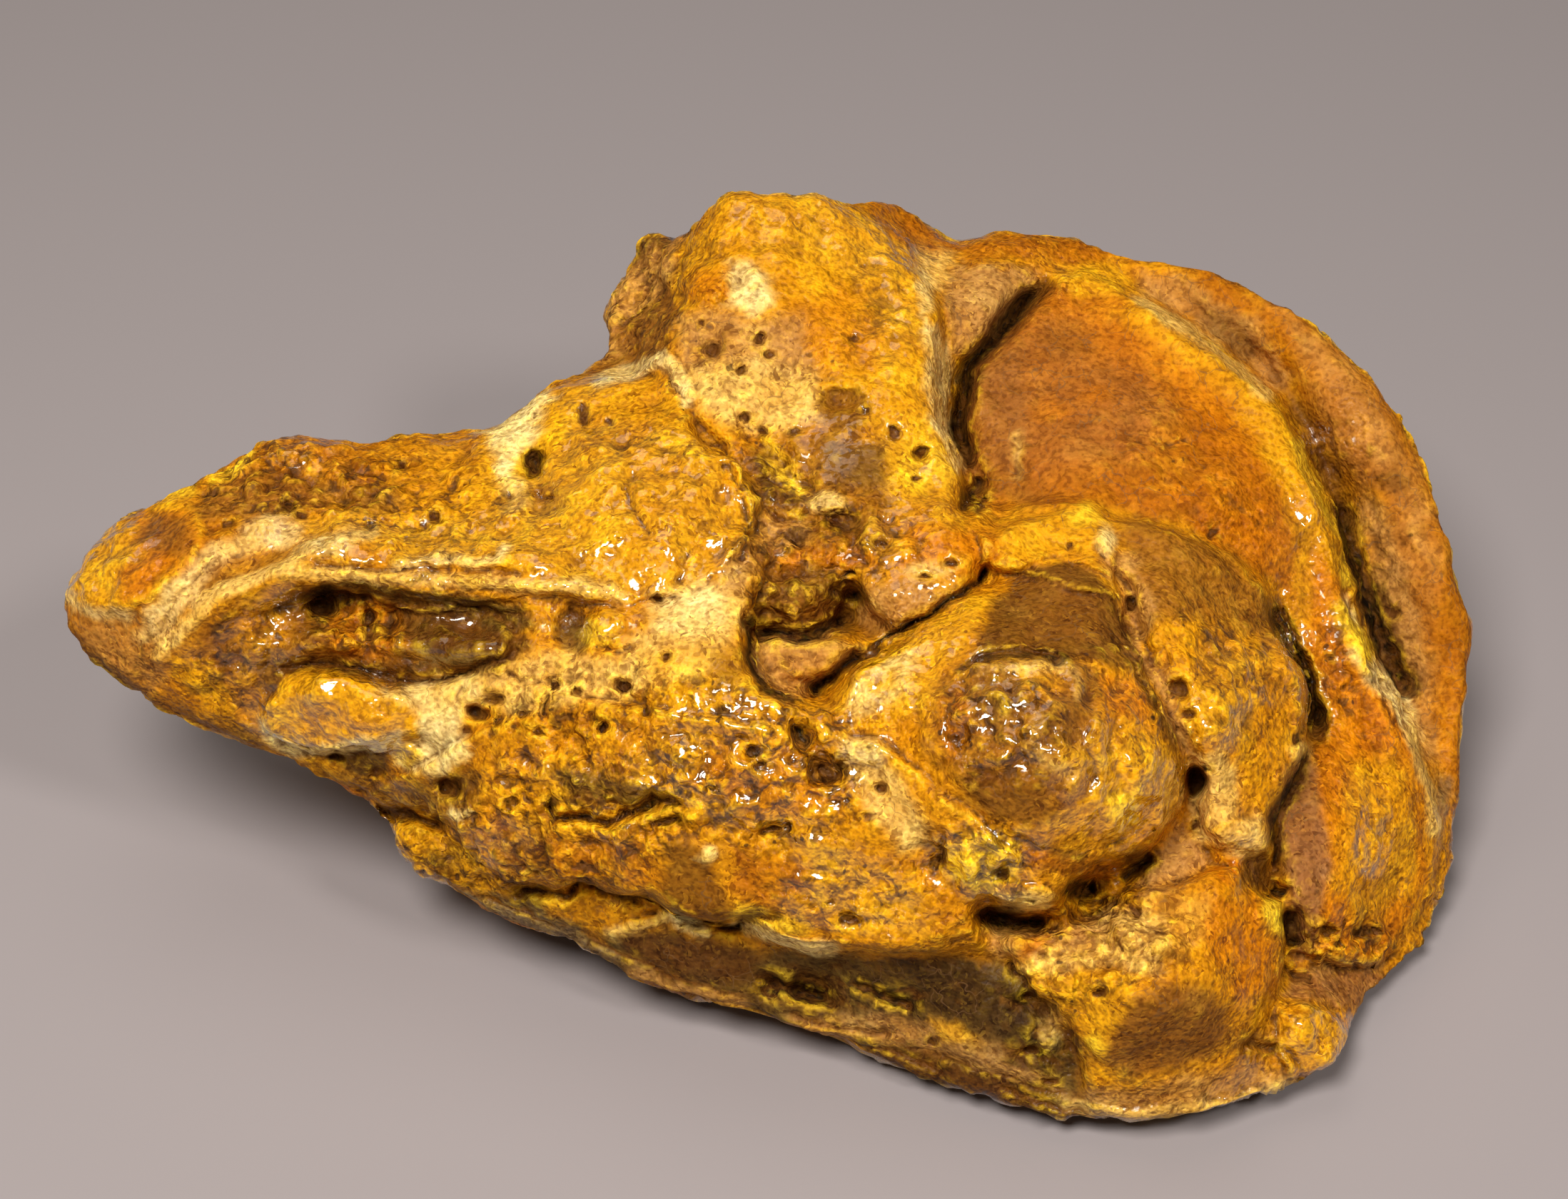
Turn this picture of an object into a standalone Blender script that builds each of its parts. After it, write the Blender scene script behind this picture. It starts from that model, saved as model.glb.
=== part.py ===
"""A lump of raw amber, about 120 mm long, crusted and opaque, resting on a flat patch of its underside.

The lump is one solid.  It starts as an ico sphere whose points are carried to the lump's surface:

- Its plan is drawn on a slanted sheet.  u runs to the right along +X, v runs up the slope of the sheet,
  and w is the height above the sheet, towards the front.  Heights are measured along lines through one
  far eye point, so that a place on the sheet keeps its (u, v) at every height.
- The lump's widest line is RIM.  Inside it, the front face is a base surface with slabs lying on it, one
  over the other, each with an edge, a few spot heights and a rounded lip.  Grooves and pits are then cut
  into it.
- The hidden side swells from the same rim over depths of its own, with slabs, lumps and broken layers.

All lengths below are in millimetres; the mesh is made in metres, +Z up.
"""

import math
from collections import namedtuple

import bmesh
import bpy
import numpy as np
from mathutils import Vector, noise

NAME = "raw_amber"
COLLECTION = "raw_amber_lump"
MM = 0.001

# The sheet: its middle from the centre of the footprint, its slope, and how far off the eye point is.
SHEET_MIDDLE = np.array([-0.06, -2.58, 28.0])
SHEET_TILT = math.radians(40)
EYE_DISTANCE = 300.0
ACROSS = np.array([1.0, 0.0, 0.0])
UP_SLOPE = np.array([0.0, math.sin(SHEET_TILT), math.cos(SHEET_TILT)])
TOWARDS_EYE = np.array([0.0, -math.cos(SHEET_TILT), math.sin(SHEET_TILT)])

# The mesh: rings of the starting sphere, then the even mesh that it is turned into, then the faceted solid.
SPHERE_SUBDIVISIONS = 8
VOXEL = 0.7
TRIANGLES = 9400
RIM_CENTRE = (0.0, -3.0)
FRONT_SWELL = 11.0  # how far inside the rim the front reaches its full height
BACK_SWELL = 26.0
WOBBLE = 0.35  # how far edges wander from their drawn lines
WOBBLE_SIZE = 3.5

Slab = namedtuple("Slab", "edge spots lip cliff")
Groove = namedtuple("Groove", "path width depth")
Pit = namedtuple("Pit", "u v radius depth")

# The rim, clockwise from the tip of the snout, as (u, v, w).
RIM = [
    (-61.2, -2, 2), (-61, 0.7, 1), (-59.8, 4, 0), (-57.2, 6.4, -1), (-52.8, 8.6, -2), (-50.6, 9.5, -2),
    (-47.1, 11.3, -3), (-44, 13.2, -3), (-40.9, 13.8, -4), (-35.2, 12.9, -4), (-32.5, 13.5, -4),
    (-28.1, 14.3, -5), (-24.6, 14.6, -5), (-22.9, 15.7, -6), (-20.7, 17.6, -8), (-18, 18.9, -10),
    (-15.4, 20.3, -13), (-15.2, 23.6, -16), (-14.5, 26.2, -18), (-13.2, 28.9, -19), (-12.3, 30.5, -19),
    (-9.7, 30.9, -18), (-7.7, 31.1, -14), (-6.2, 32.8, -10), (-4.4, 34.2, -9), (-3, 34.5, -9),
    (0.9, 34.2, -9), (4.4, 33.5, -11), (6.3, 33.1, -15), (8.6, 33.7, -19), (11.4, 32.7, -20),
    (13.6, 31.1, -20), (14.9, 30.2, -20), (17.6, 30.9, -20), (22.8, 31.3, -20), (25.5, 30.5, -20),
    (29, 29, -20), (36, 28, -19), (39.5, 26.2, -18), (43.1, 24.2, -17), (46.6, 21.4, -17),
    (50.1, 17.9, -16), (52.3, 14.8, -15), (53.8, 11.3, -14), (55.6, 6.9, -13), (57.6, -0.2, -12),
    (58.2, -2.8, -12), (57.8, -8.1, -11), (57.3, -13.4, -10), (57, -18.7, -9), (56.3, -23, -7),
    (54.1, -28.8, -4), (51.9, -31.9, -1), (49.2, -34.5, 2), (47.9, -35.8, 4), (47.5, -38, 6),
    (46.2, -39.8, 7), (43.1, -41.5, 9), (39.5, -42.9, 10), (35.1, -43.8, 11), (30.7, -44, 12),
    (26.3, -44.6, 12), (22.8, -44.2, 11), (19.3, -42.9, 10), (14.9, -42, 9), (11.4, -40.7, 8),
    (8.7, -38.9, 8), (3.5, -36.7, 7), (-0.9, -35.4, 6), (-4.4, -34.5, 6), (-9.7, -33.2, 5),
    (-13.2, -31.4, 4), (-16.7, -29.7, 3), (-20.2, -28.4, 2), (-24.6, -26.6, 1), (-28.1, -24.4, 0),
    (-31.6, -22.6, 0), (-33.6, -20.9, 0), (-33.2, -18.7, 0), (-34.1, -17.6, 1), (-39.5, -14.7, 1),
    (-46.6, -11.9, 1), (-53.6, -9, 1), (-56.3, -7, 2), (-59.3, -4.6, 2),
]

# The surface that the slabs lie on: the snout, the layer at the far right, and the hollows' bottoms.
BASE_SPOTS = [
    (-58, 2, 6), (-57, -4, 6), (-51, 5, 8), (-50, -4, 9), (-43, 9, 6), (-42, 3, 9), (-42, -9, 8),
    (-34, 10, 5), (-34, 3, 10), (-33, -14, 8), (-29, -20, 6), (-22, 13, 3), (-20, 6, 9), (-24, -24, 7),
    (-15, -8, 13), (-10, 12, 4), (-12, -20, 12), (-10, -29, 9), (0, -20, 14), (0, -31, 10),
    (9, -32, 13), (10, -37, 10), (18, -33, 15), (20, -40, 13), (30, -41, 12), (40, -39, 9), (13, 3, 8),
    (5, 0, 7), (0, -6, 8), (5, -6, 8), (18, -5, 12), (33, -22, 14), (26, -25, 11), (18, -27, 12),
    (32, -8, 15), (0, 10, 2), (3, 20, -8), (0, 30, -13), (-12, 27, -15), (8, 31, -17), (17, 26, -9),
    (15, 15, -9), (25, 20, -14), (24, 29, -17), (35, 25, -16), (41, 18, -18), (46, 18, -13),
    (46, 9, -16), (51, 10, -11), (50, 0, -14), (55, 0, -9), (54, -10, -12), (56, -14, -8),
    (54, -22, -6), (50, -30, -1), (46, -33, 5), (44, -12, -3), (43, -25, 3), (40, -1, -1),
]

DOME = Slab(
    [
        (16, 8), (15.2, 13), (15.6, 19.5), (18.3, 22.5), (20.3, 25.3), (23, 27.6), (25.5, 27.8),
        (28, 27), (30, 25.4), (33.5, 23.3), (37, 20.3), (41, 17.5), (43.2, 14), (44.4, 10.2), (46, 7.5),
        (47.4, 5), (47.8, 2), (48.7, -2.5), (50.5, -6), (52.3, -9), (53.8, -13), (55, -16), (55.6, -20),
        (54.8, -25), (52.5, -29), (50, -30.7), (47, -31), (44, -30.2), (36, -20), (28, 0), (17, 3),
    ],
    [
        (17, 11, -2), (24, 23.5, -10), (29, 18, -5), (24, 11, 1), (36, 17.5, -7), (42, 13, -6),
        (39, 8, 0), (33, 9, 2), (45.5, 3.5, -4), (42, 2, -1), (48, -5, -3), (49, -12, 0), (47, -20, 6),
        (51, -20, 3), (48, -27, 6), (53, -26, -1),
    ],
    1.8, 4.0,
)
TOP_PLATE = Slab(
    [
        (-9.5, 17.5), (-12, 20.2), (-8.6, 25.4), (-9.2, 28), (-7.8, 31), (-6.2, 32.8), (-4.4, 34.3),
        (-1, 35), (4, 34), (6.8, 32.6), (8.6, 30.7), (10.6, 28.5), (12.4, 26.5), (13.3, 24.7),
        (12.6, 22.3), (13, 18), (13.5, 14.3), (15, 11.5), (15.6, 8.4), (17.4, 6.4), (17.4, 3.4),
        (15, 0.2), (12, -1.4), (9.4, -2.6), (7.4, -0.6), (6.4, 1.6), (3, 2.2), (-1, 2.4), (-3, 8),
        (-5, 13),
    ],
    [
        (-3, 31.5, -5), (4, 30, -5), (-5, 26, -2), (3, 25, -2), (10, 24, -3), (-7, 20.5, 1),
        (2, 18.5, 1), (9, 18, 2), (0, 12, 5), (7, 12, 6), (12.5, 13, 4), (3, 6.5, 9), (10, 7, 10),
        (-2, 6, 9), (14, 3, 13), (9, 0, 14),
    ],
    2.0, 5.0,
)
LEFT_PLATE = Slab(
    [
        (-28, 1.5), (-28, 8), (-26.5, 13.6), (-22.5, 15.9), (-20.5, 17.6), (-15, 18.8), (-10, 18.5),
        (-9, 17.2), (-8, 16.2), (-8.2, 15), (-6.7, 13), (-4.2, 12), (-3, 10.4), (-2.2, 8.2), (-2.4, 6),
        (-4, 4), (-6.5, 2), (-8, 0.6), (-14, -0.4), (-20, 0.4),
    ],
    [
        (-26, 4, 10), (-24, 11, 6), (-19, 15, 3), (-15, 9, 10), (-15, 3, 14), (-11, 16, 4), (-8, 11, 9),
        (-5, 8, 10), (-9, 4, 14),
    ],
    1.1, 5.0,
)
FRONT_MASS = Slab(
    [
        (-31, -1.2), (-27, -1.8), (-23, -1.6), (-20, 0.4), (-14, -0.4), (-8, 0.6), (-6.2, 2.2),
        (-3.6, 5.2), (-2.2, 3), (-3, -1), (-3.1, -5), (-1.6, -8), (0.4, -9.2), (3, -9.6), (5, -12),
        (12, -22), (16, -26), (16.6, -29.4), (10, -29.8), (5, -30), (2, -29.6), (-1, -28.4),
        (-3.4, -27), (-6, -27.3), (-9, -26.6), (-10.5, -25.2), (-12, -24.7), (-14, -25.4),
        (-16.6, -23.9), (-19, -24.7), (-21, -24.3), (-24, -24.5), (-27.5, -21), (-30, -18.6),
        (-33, -17.6), (-36, -16.3), (-39.5, -14.2), (-38, -12.6), (-31, -11.5), (-30.6, -8), (-29, -5),
    ],
    [
        (-30, -9, 12), (-26, -4, 14), (-34, -14.5, 9), (-26, -15, 13), (-20, -3, 15), (-12, -6, 19),
        (-5, -1, 17.5), (-5, -10, 22), (-15, -15, 18.5), (-20, -21, 14), (-11, -22, 18), (0, -15, 22.5),
        (0, -24, 19.5), (8, -19, 23), (9, -27, 20), (-3, 3.5, 15),
    ],
    1.3, 6.0,
)
BOSS = Slab(
    [
        (18, 1), (20, 1.8), (23, 3.2), (25.5, 3.4), (27, 2.4), (28.2, 0), (29, -3), (31, -7), (33, -11),
        (33.8, -15), (33.3, -18), (31.5, -20.6), (28, -21.9), (24.5, -23.4), (23.3, -25.8),
        (20.5, -26.8), (18, -25.8), (15.4, -25.3), (13.4, -22.6), (9, -17.6), (5.5, -14.4), (4.2, -11),
        (4.5, -8), (6, -5.8), (9, -3.8), (12, -2), (14, -0.6), (16.5, 0.4),
    ],
    [
        (22, 2, 14), (18, -2, 18), (25, -3, 20), (12, -4, 19), (7.5, -8, 21), (18, -6.5, 25),
        (23, -11, 28.5), (15, -12, 26.5), (29, -10, 24), (31.5, -15, 22), (25, -18, 26.5),
        (10, -15, 24), (18, -20, 25.5), (20.5, -25, 22), (29, -20, 21.5),
    ],
    2.2, 4.5,
)
RIGHT_LOBE = Slab(
    [
        (28, 6.6), (30.5, 6.7), (33, 5.9), (35, 5), (37.5, 4), (39, 2.8), (40.3, 1.5), (41.2, 0),
        (42, -2.5), (43.2, -4.5), (44, -6), (44.2, -8), (43.8, -11), (44.5, -12.5), (43.3, -14.8),
        (42, -17), (41, -19), (41, -21.3), (38.5, -22), (36, -20.6), (35.4, -18), (35.8, -14),
        (34.2, -11), (32.2, -7), (30.4, -3), (29.6, 1), (27, 4),
    ],
    [
        (29, 5, 9), (34, 2.5, 10), (39, 0, 7), (32, -2, 15), (37, -6, 14.5), (42, -7, 10),
        (37, -12, 17), (42, -13, 11), (39, -19.5, 14), (36.5, -18, 15),
    ],
    2.0, 5.0,
)
SHOULDER = Slab(
    [
        (17, 4.8), (20, 6.5), (24.3, 7.8), (26, 7.6), (27.4, 5.8), (28.2, 4.2), (28, 1.5), (23, 3.8),
        (19, 2.2), (17.4, 2.6),
    ],
    [(24.5, 6, 9), (20, 4.5, 10.5), (17.6, 3.4, 12), (27, 4, 11)],
    1.3, 4.0,
)
LOWER_BLOCK = Slab(
    [(-2.6, -3.4), (0, -3.1), (4, -3.2), (7, -4.2), (5, -6), (1, -8), (-1.4, -7)],
    [(0, -4, 12.5), (4, -4, 13), (0.6, -7, 11)],
    0.8, 5.0,
)
INNER_BLOCK = Slab(
    [(-1.8, 1.4), (0.6, 2), (3, 1.6), (4.4, 0.2), (3.6, -2), (0.6, -2.4), (-1.6, -2)],
    [(1, 0, 11.5), (3, -1.6, 11)],
    0.9, 5.0,
)
LOWER_MASS = Slab(
    [
        (33, -24.3), (36.5, -23), (38.5, -22.4), (39.5, -24.6), (42.3, -25.7), (42.7, -28), (42.5, -31),
        (41.5, -33), (40.8, -34.5), (41.5, -37), (43, -39), (44, -42), (39, -44), (31, -45),
        (26, -43.4), (25.2, -39), (23.5, -36), (21, -33.5), (19.4, -31), (18.4, -29), (20, -27.8),
        (23, -28.2), (27, -26.5), (30, -25),
    ],
    [
        (21.5, -30, 18), (26, -28.5, 18), (32, -26.5, 18.5), (38, -25.5, 16), (41, -29, 13),
        (30, -34, 22), (37, -34.5, 18), (30, -40, 17), (38, -40, 13.5), (25, -37, 18),
    ],
    2.2, 4.0,
)
KNOB = Slab(
    [
        (42, -34.8), (44, -34.2), (46.5, -35.1), (48.2, -37), (47.6, -39), (45.4, -41), (42.8, -40.4),
        (41.8, -37.5),
    ],
    [(44.8, -37.4, 12.5), (42.5, -39, 12)],
    2.0, 3.0,
)
TONGUE = Slab(
    [
        (-44.2, -10), (-43.4, -8.2), (-41.6, -6.5), (-38.5, -6.2), (-36, -6.6), (-34, -7.7),
        (-31.3, -8.6), (-30.6, -10), (-31, -11.9), (-34, -11.8), (-38, -12.8), (-41, -13),
        (-43.6, -11.9),
    ],
    [(-41, -9.5, 11.5), (-37, -9.5, 13), (-33, -10, 13)],
    2.0, 2.2,
)
ROPE_LIP = Slab(
    [
        (-54, -5), (-51.6, -3.2), (-50, -1.2), (-48.4, 0.6), (-45, 2.1), (-41, 3.8), (-37, 5.4),
        (-32, 3.6), (-27, 3.4), (-22, 4.4), (-16, 2), (-14, 0), (-20, -0.3), (-24, -0.6), (-28, -0.4),
        (-31, 0.6), (-36, 1.2), (-39, 1.1), (-43, 0), (-46, -1), (-49, -4), (-52.5, -6.6),
    ],
    [(-52.5, -4.5, 9.5), (-48, -0.5, 10.8), (-42, 1.4, 11.8), (-35, 2.4, 13), (-27, 1.5, 14), (-18, 1, 15)],
    1.0, 2.0,
)
TIP_FACET = Slab(
    [
        (-61.5, 3.6), (-59.5, 6), (-57, 8), (-50.4, 8.6), (-49, 6), (-50, 3.6), (-53, 0.4), (-55, -1),
        (-58, -0.9), (-61, 0),
    ],
    [(-59, 3, 7), (-54, 6, 7), (-55, 0.5, 9), (-51, 5.5, 8.6)],
    0.8, 2.0,
)
FRONT_SLABS = [
    DOME, TOP_PLATE, LEFT_PLATE, FRONT_MASS, LOWER_BLOCK, INNER_BLOCK, SHOULDER, RIGHT_LOBE, LOWER_MASS,
    KNOB, BOSS, TIP_FACET, ROPE_LIP, TONGUE,
]

FRONT_GROOVES = [
    # between the top plate and the dome
    Groove([(22.4, 26.8), (20, 25), (17.6, 21.8), (15.6, 19.4), (15, 16), (14.8, 13.6),
            (15.8, 10.5)], 1.3, 5),
    Groove([(16.6, 10), (15, 8), (15.8, 6.6)], 1.2, 4),
    # behind the ridge on the right
    Groove([(27, 28.4), (33, 25.6), (38, 22), (43, 17), (45.6, 11.6), (47.6, 6.4), (49, 1),
            (50.6, -4.4), (53, -9.4), (55, -14)], 1.8, 2.6),
    # round the right lobe and the lower mass
    Groove([(40.6, 0.8), (42.4, -2.2), (44.4, -6), (45, -10.4), (43.6, -15), (41.8, -20),
            (42, -24.6), (43.2, -28.6), (43, -31.6), (41.8, -34.2)], 1.3, 3.4),
    # round the boss
    Groove([(17.4, 3.4), (15.6, 0.8), (12, -1.7), (7, -5), (4.2, -7.4), (2, -8.4)], 1.2, 4),
    Groove([(28.6, 0.4), (29.6, -2.4), (32, -7.4), (34.4, -12.4), (34.8, -17), (32.6, -21),
            (29.2, -23.6)], 1.6, 2.6),
    Groove([(29.4, -23), (25.4, -24.6), (23.8, -26.8), (20, -27.6), (16.6, -26.6)], 1.7, 4.2),
    Groove([(13.4, -20.4), (12.6, -23)], 0.8, 1.6),
    # in the hollow beside it
    Groove([(-3, -2.6), (0, -2.8), (3.8, -2.2), (6.4, 0)], 1.1, 3.4),
    Groove([(-3, -3.2), (-2.4, -6.4), (0.4, -8.8)], 0.9, 2.4),
    # under the broken edge along the front
    Groove([(-25, -24.6), (-20, -24.9), (-16.6, -24.6), (-13, -25.8), (-9, -27.1), (-5, -27.8),
            (-2, -27.6), (2, -29.8)], 1.1, 2.6),
    Groove([(-20.2, -17), (-19, -18.6), (-15.6, -18.8), (-12.4, -17.8), (-8.8, -17)], 0.9, 3),
    # the long slot under the rope-like lip
    Groove([(-43.6, -2.4), (-39, -0.4), (-35, -1.6), (-30.6, -1.6), (-24, -2.6)], 2.4, 4.4),
    Groove([(-44, -5.6), (-38, -5.3), (-33, -6.4), (-29, -6.7), (-23, -5)], 1.4, 2.6),
    Groove([(-46, -11.4), (-40, -13.6), (-35, -13.2)], 0.9, 1.2),
    # between the snout's underside and the lobe below it
    Groove([(-35, -18), (-31.6, -18.2), (-28.4, -19.6), (-26.6, -21.6)], 1.2, 2.8),
    # folds of the plates
    Groove([(-22, 12.6), (-20.6, 9.6), (-20, 7)], 1.1, 2),
    Groove([(-12.6, 11), (-13.3, 9), (-12, 6), (-10.6, 4.4)], 0.9, 0.8),
    Groove([(-8, 4.4), (-9, 1), (-11, -2)], 0.9, 1),
    Groove([(-13.8, 23), (-11, 24.4), (-9.4, 26.4)], 0.9, 1.4),
    Groove([(-4, 15.6), (-1, 12.4), (2, 9.6), (6, 7)], 1.2, 1.1),
    Groove([(25.4, -38.6), (23.8, -36), (21.4, -33.6), (19.6, -31)], 1, 2),
    Groove([(4, -40.4), (12, -38.6), (18, -41.4), (26, -42.8), (34, -42.6)], 0.9, 1),
    Groove([(38.4, -37.4), (42, -38.4)], 1, 1.4),
]

FRONT_RIDGES = [
    # the pale crest along the dome's outer edge, and the seam in the valley right of the boss
    Groove([(24, 27), (29, 25.4), (34, 22), (39, 18), (42.6, 14), (44.4, 9), (46.6, 4), (47.6, -2),
            (50.6, -8), (53, -14), (53.6, -20)], 2.2, 1.5),
    Groove([(29.4, -3), (31.4, -7), (33.6, -11.4)], 1, 1.2),
    Groove([(-25.4, 13.6), (-22.6, 15.4), (-19.6, 17.4)], 1.2, 0.9),
]

FRONT_PITS = [
    Pit(-39.2, -0.4, 1.3, 2.4), Pit(-26, -9.6, 1.0, 2.6), Pit(-28.4, -16.1, 1.0, 2),
    Pit(-21.3, 11.7, 0.9, 1.8), Pit(-18, -2, 2.4, 1.2), Pit(-15.3, -10.7, 0.8, 1.6),
    Pit(-34.4, -14.7, 0.8, 1.4), Pit(-24.6, -8.2, 1.2, 0.8), Pit(1.5, -11.5, 1.3, 3),
    Pit(3.6, -14.4, 1.7, 1.6), Pit(8.3, -16, 0.8, 1.4), Pit(18.5, -23.3, 1.0, 1.6),
    Pit(34.9, -15.3, 1.3, 3), Pit(33.5, -7.4, 0.9, 1.4), Pit(29.3, -0.6, 1.0, 2.4),
    Pit(11.4, 12.4, 0.9, 1.6), Pit(-6.2, 21.4, 0.8, 1.2), Pit(4.6, 16.8, 1.5, 0.9),
    Pit(49.5, -28.3, 1.2, 1.2), Pit(46.1, -28.2, 0.9, 1.2), Pit(2.6, -33, 2.4, 1.8),
    Pit(-1.4, -33.4, 1.4, 1.6), Pit(-0.6, -19.6, 1.2, 1.2), Pit(31, -31.8, 1.2, 0.8),
    Pit(36.4, 5.8, 0.8, 0.9), Pit(20.6, -38.2, 1.4, 1.2), Pit(-2.2, -12.6, 1.4, 0.9),
    Pit(14.6, -33.4, 1.6, 0.8),
]

# The hidden side, drawn on the same sheet: depths behind it, slabs, cracks and scattered pits.
BACK_SPOTS = [
    (-58, 0, 8), (-50, 2, 13), (-42, 0, 17), (-34, 4, 20), (-34, -8, 17), (-24, 6, 25), (-24, -12, 24),
    (-14, 14, 29), (-12, 0, 32), (-8, -18, 31), (0, 24, 31), (2, 8, 36), (4, -10, 39), (8, -28, 34),
    (16, 26, 34), (18, 10, 39), (20, -8, 43), (24, -26, 38), (32, 22, 34), (34, 6, 38), (36, -12, 41),
    (38, -30, 32), (46, 12, 31), (48, -6, 33), (50, -22, 27), (10, -36, 24), (26, -40, 22),
]
BACK_SLABS = [
    Slab(
        [(-20, 9), (-15, 18), (-11, 26), (-3, 29), (1, 22), (-1, 12), (-8, 4), (-17, 2)],
        [(-14, 16, 30.5), (-6, 24, 31.5), (-6, 10, 36), (-14, 6, 33)],
        3.0, 2.0,
    ),
    Slab(
        [(3, 30), (14, 28), (20, 21), (22, 10), (18, 2), (9, 0), (3, 6), (4, 16), (1, 24)],
        [(8, 26, 36), (14, 18, 40), (12, 6, 41), (18, 10, 41.5), (5, 10, 38)],
        3.4, 2.0,
    ),
    Slab(
        [(25, 27), (36, 25), (44, 18), (49, 8), (46, 0), (38, 2), (30, 8), (25, 14), (23, 20)],
        [(30, 22, 38), (40, 14, 37), (44, 6, 36), (32, 12, 40.5)],
        3.0, 2.2,
    ),
    Slab(
        [(24, 6), (34, 1), (44, -4), (51, -12), (48, -24), (38, -28), (28, -20), (22, -6)],
        [(30, 0, 43.5), (42, -10, 39.5), (44, -20, 35), (30, -12, 46)],
        3.0, 2.4,
    ),
    Slab(
        [(-50, 3), (-42, 6), (-33, 9), (-25, 6), (-22, -4), (-27, -13), (-36, -10), (-46, -6)],
        [(-44, 0, 19), (-34, 0, 23), (-28, -4, 27)],
        2.4, 2.0,
    ),
]
BACK_GROOVES = [
    Groove([(-8, 28), (-3, 19), (2, 9), (6, 0), (12, -6)], 1.6, 3),
    Groove([(23, 29), (22, 19), (25, 9), (22, 0)], 1.5, 2.6),
    Groove([(52, 6), (42, 0), (32, 3), (26, 9)], 1.3, 2.2),
    Groove([(-36, 10), (-27, 8), (-20, 0), (-18, -10)], 1.4, 2),
]
BACK_RIDGES = [
    Groove([(6, 24), (10, 14), (16, 8)], 2.4, 1.2),
    Groove([(34, 20), (40, 10), (47, 4)], 2.0, 1.0),
]
BACK_PITS_SEED = 5
BACK_PITS = 34
LUMP_SIZE = 17.0
LUMP_RELIEF = 1.8
LAYER_THICKNESS = 6.5
LAYER_RELIEF = 1.5
GRAIN = [(10.0, 0.7), (4.4, 0.5), (1.8, 0.14)]  # (size, relief) of the roughness all over
SOFTENINGS = 26  # rounds of smoothing that take the rim's kinks out of the hidden side

# The underside: the patch that it rests on, and how the rest lifts off the ground, most under the snout.
FOOT_CENTRE = (13.0, -1.0)
FOOT_REACH = (23.0, 17.0)
FOOT_SPREAD = 1.5
LIFT = 4.4
SNOUT_LIFT = 6.0
SNOUT_LIFT_FROM = -2.0
SNOUT_LIFT_RUN = 30.0
SUNK = 1.2  # how far the patch is sunk before the ground plane cuts it off flat
SETTLING = 0.93

HONEY = (0.60, 0.29, 0.045, 1.0)


def smooth(x):
    """From 0 to 1 with level ends."""
    x = np.clip(x, 0.0, 1.0)
    return x * x * (3.0 - 2.0 * x)


def rounded(x):
    """A quarter circle from 0 to 1."""
    return np.sqrt(1.0 - (1.0 - np.clip(x, 0.0, 1.0)) ** 2)


def spot_surface(spots, ease=4.0):
    """A smooth function of (u, v) that passes through every (u, v, w) spot height."""
    spots = np.array(spots, float)
    places, heights = spots[:, :2], spots[:, 2]
    count = len(spots)
    system = np.ones((count + 1, count + 1))
    system[:count, :count] = np.sqrt(((places[:, None] - places[None]) ** 2).sum(2) + ease**2)
    system[count, count] = 0.0
    weights = np.linalg.solve(system, np.append(heights, 0.0))

    def height(uv):
        total = np.full(len(uv), weights[count])
        for place, weight in zip(places, weights):
            total += weight * np.sqrt(((uv - place) ** 2).sum(1) + ease**2)
        return total

    return height


def path_distance(uv, path, closed=False):
    """Each point's distance to a path, and how far along the path the nearest point lies, from 0 to 1."""
    points = np.array([place[:2] for place in path], float)
    if closed:
        points = np.vstack([points, points[:1]])
    lengths = np.sqrt(((points[1:] - points[:-1]) ** 2).sum(1))
    starts = np.concatenate([[0.0], np.cumsum(lengths)])
    nearest = np.full(len(uv), 1e9)
    along = np.zeros(len(uv))
    for a, b, start, length in zip(points[:-1], points[1:], starts, lengths):
        t = np.clip(((uv - a) @ (b - a)) / length**2, 0.0, 1.0)
        distance = np.sqrt(((uv - a - t[:, None] * (b - a)) ** 2).sum(1))
        closer = distance < nearest
        nearest = np.where(closer, distance, nearest)
        along = np.where(closer, (start + t * length) / starts[-1], along)
    return nearest, along


def inside_distance(uv, edge):
    """Each point's distance to a closed edge, positive inside it."""
    points = np.array([place[:2] for place in edge], float)
    inside = np.zeros(len(uv), bool)
    for a, b in zip(points, np.roll(points, -1, axis=0)):
        spans = (a[1] > uv[:, 1]) != (b[1] > uv[:, 1])
        rise = b[1] - a[1] if b[1] != a[1] else 1e-9
        inside ^= spans & (uv[:, 0] < a[0] + (uv[:, 1] - a[1]) * (b[0] - a[0]) / rise)
    distance = path_distance(uv, edge, closed=True)[0]
    return np.where(inside, distance, -distance)


def fractal(points, size, seed, octaves=3):
    """Soft noise of about -1 to 1 with features of the given size."""
    shift = Vector((seed * 17.3, seed * 5.1, seed * 9.7))
    return np.array([
        noise.fractal(Vector(point) / size + shift, 0.9, 2.1, octaves, noise_basis="PERLIN_ORIGINAL")
        for point in points
    ])


def cell_distance(points, size):
    """Distance to the nearest of many scattered points, in cells of the given size."""
    return np.array([noise.voronoi(Vector(point) / size)[0][0] for point in points])


def from_sheet(uv, w):
    """The point over (u, v) on the sheet at height w, measured from the sheet's middle."""
    nearer = (1.0 - w / EYE_DISTANCE)[:, None]
    flat = uv[:, :1] * ACROSS + uv[:, 1:] * UP_SLOPE
    return flat * nearer + w[:, None] * TOWARDS_EYE


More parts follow.
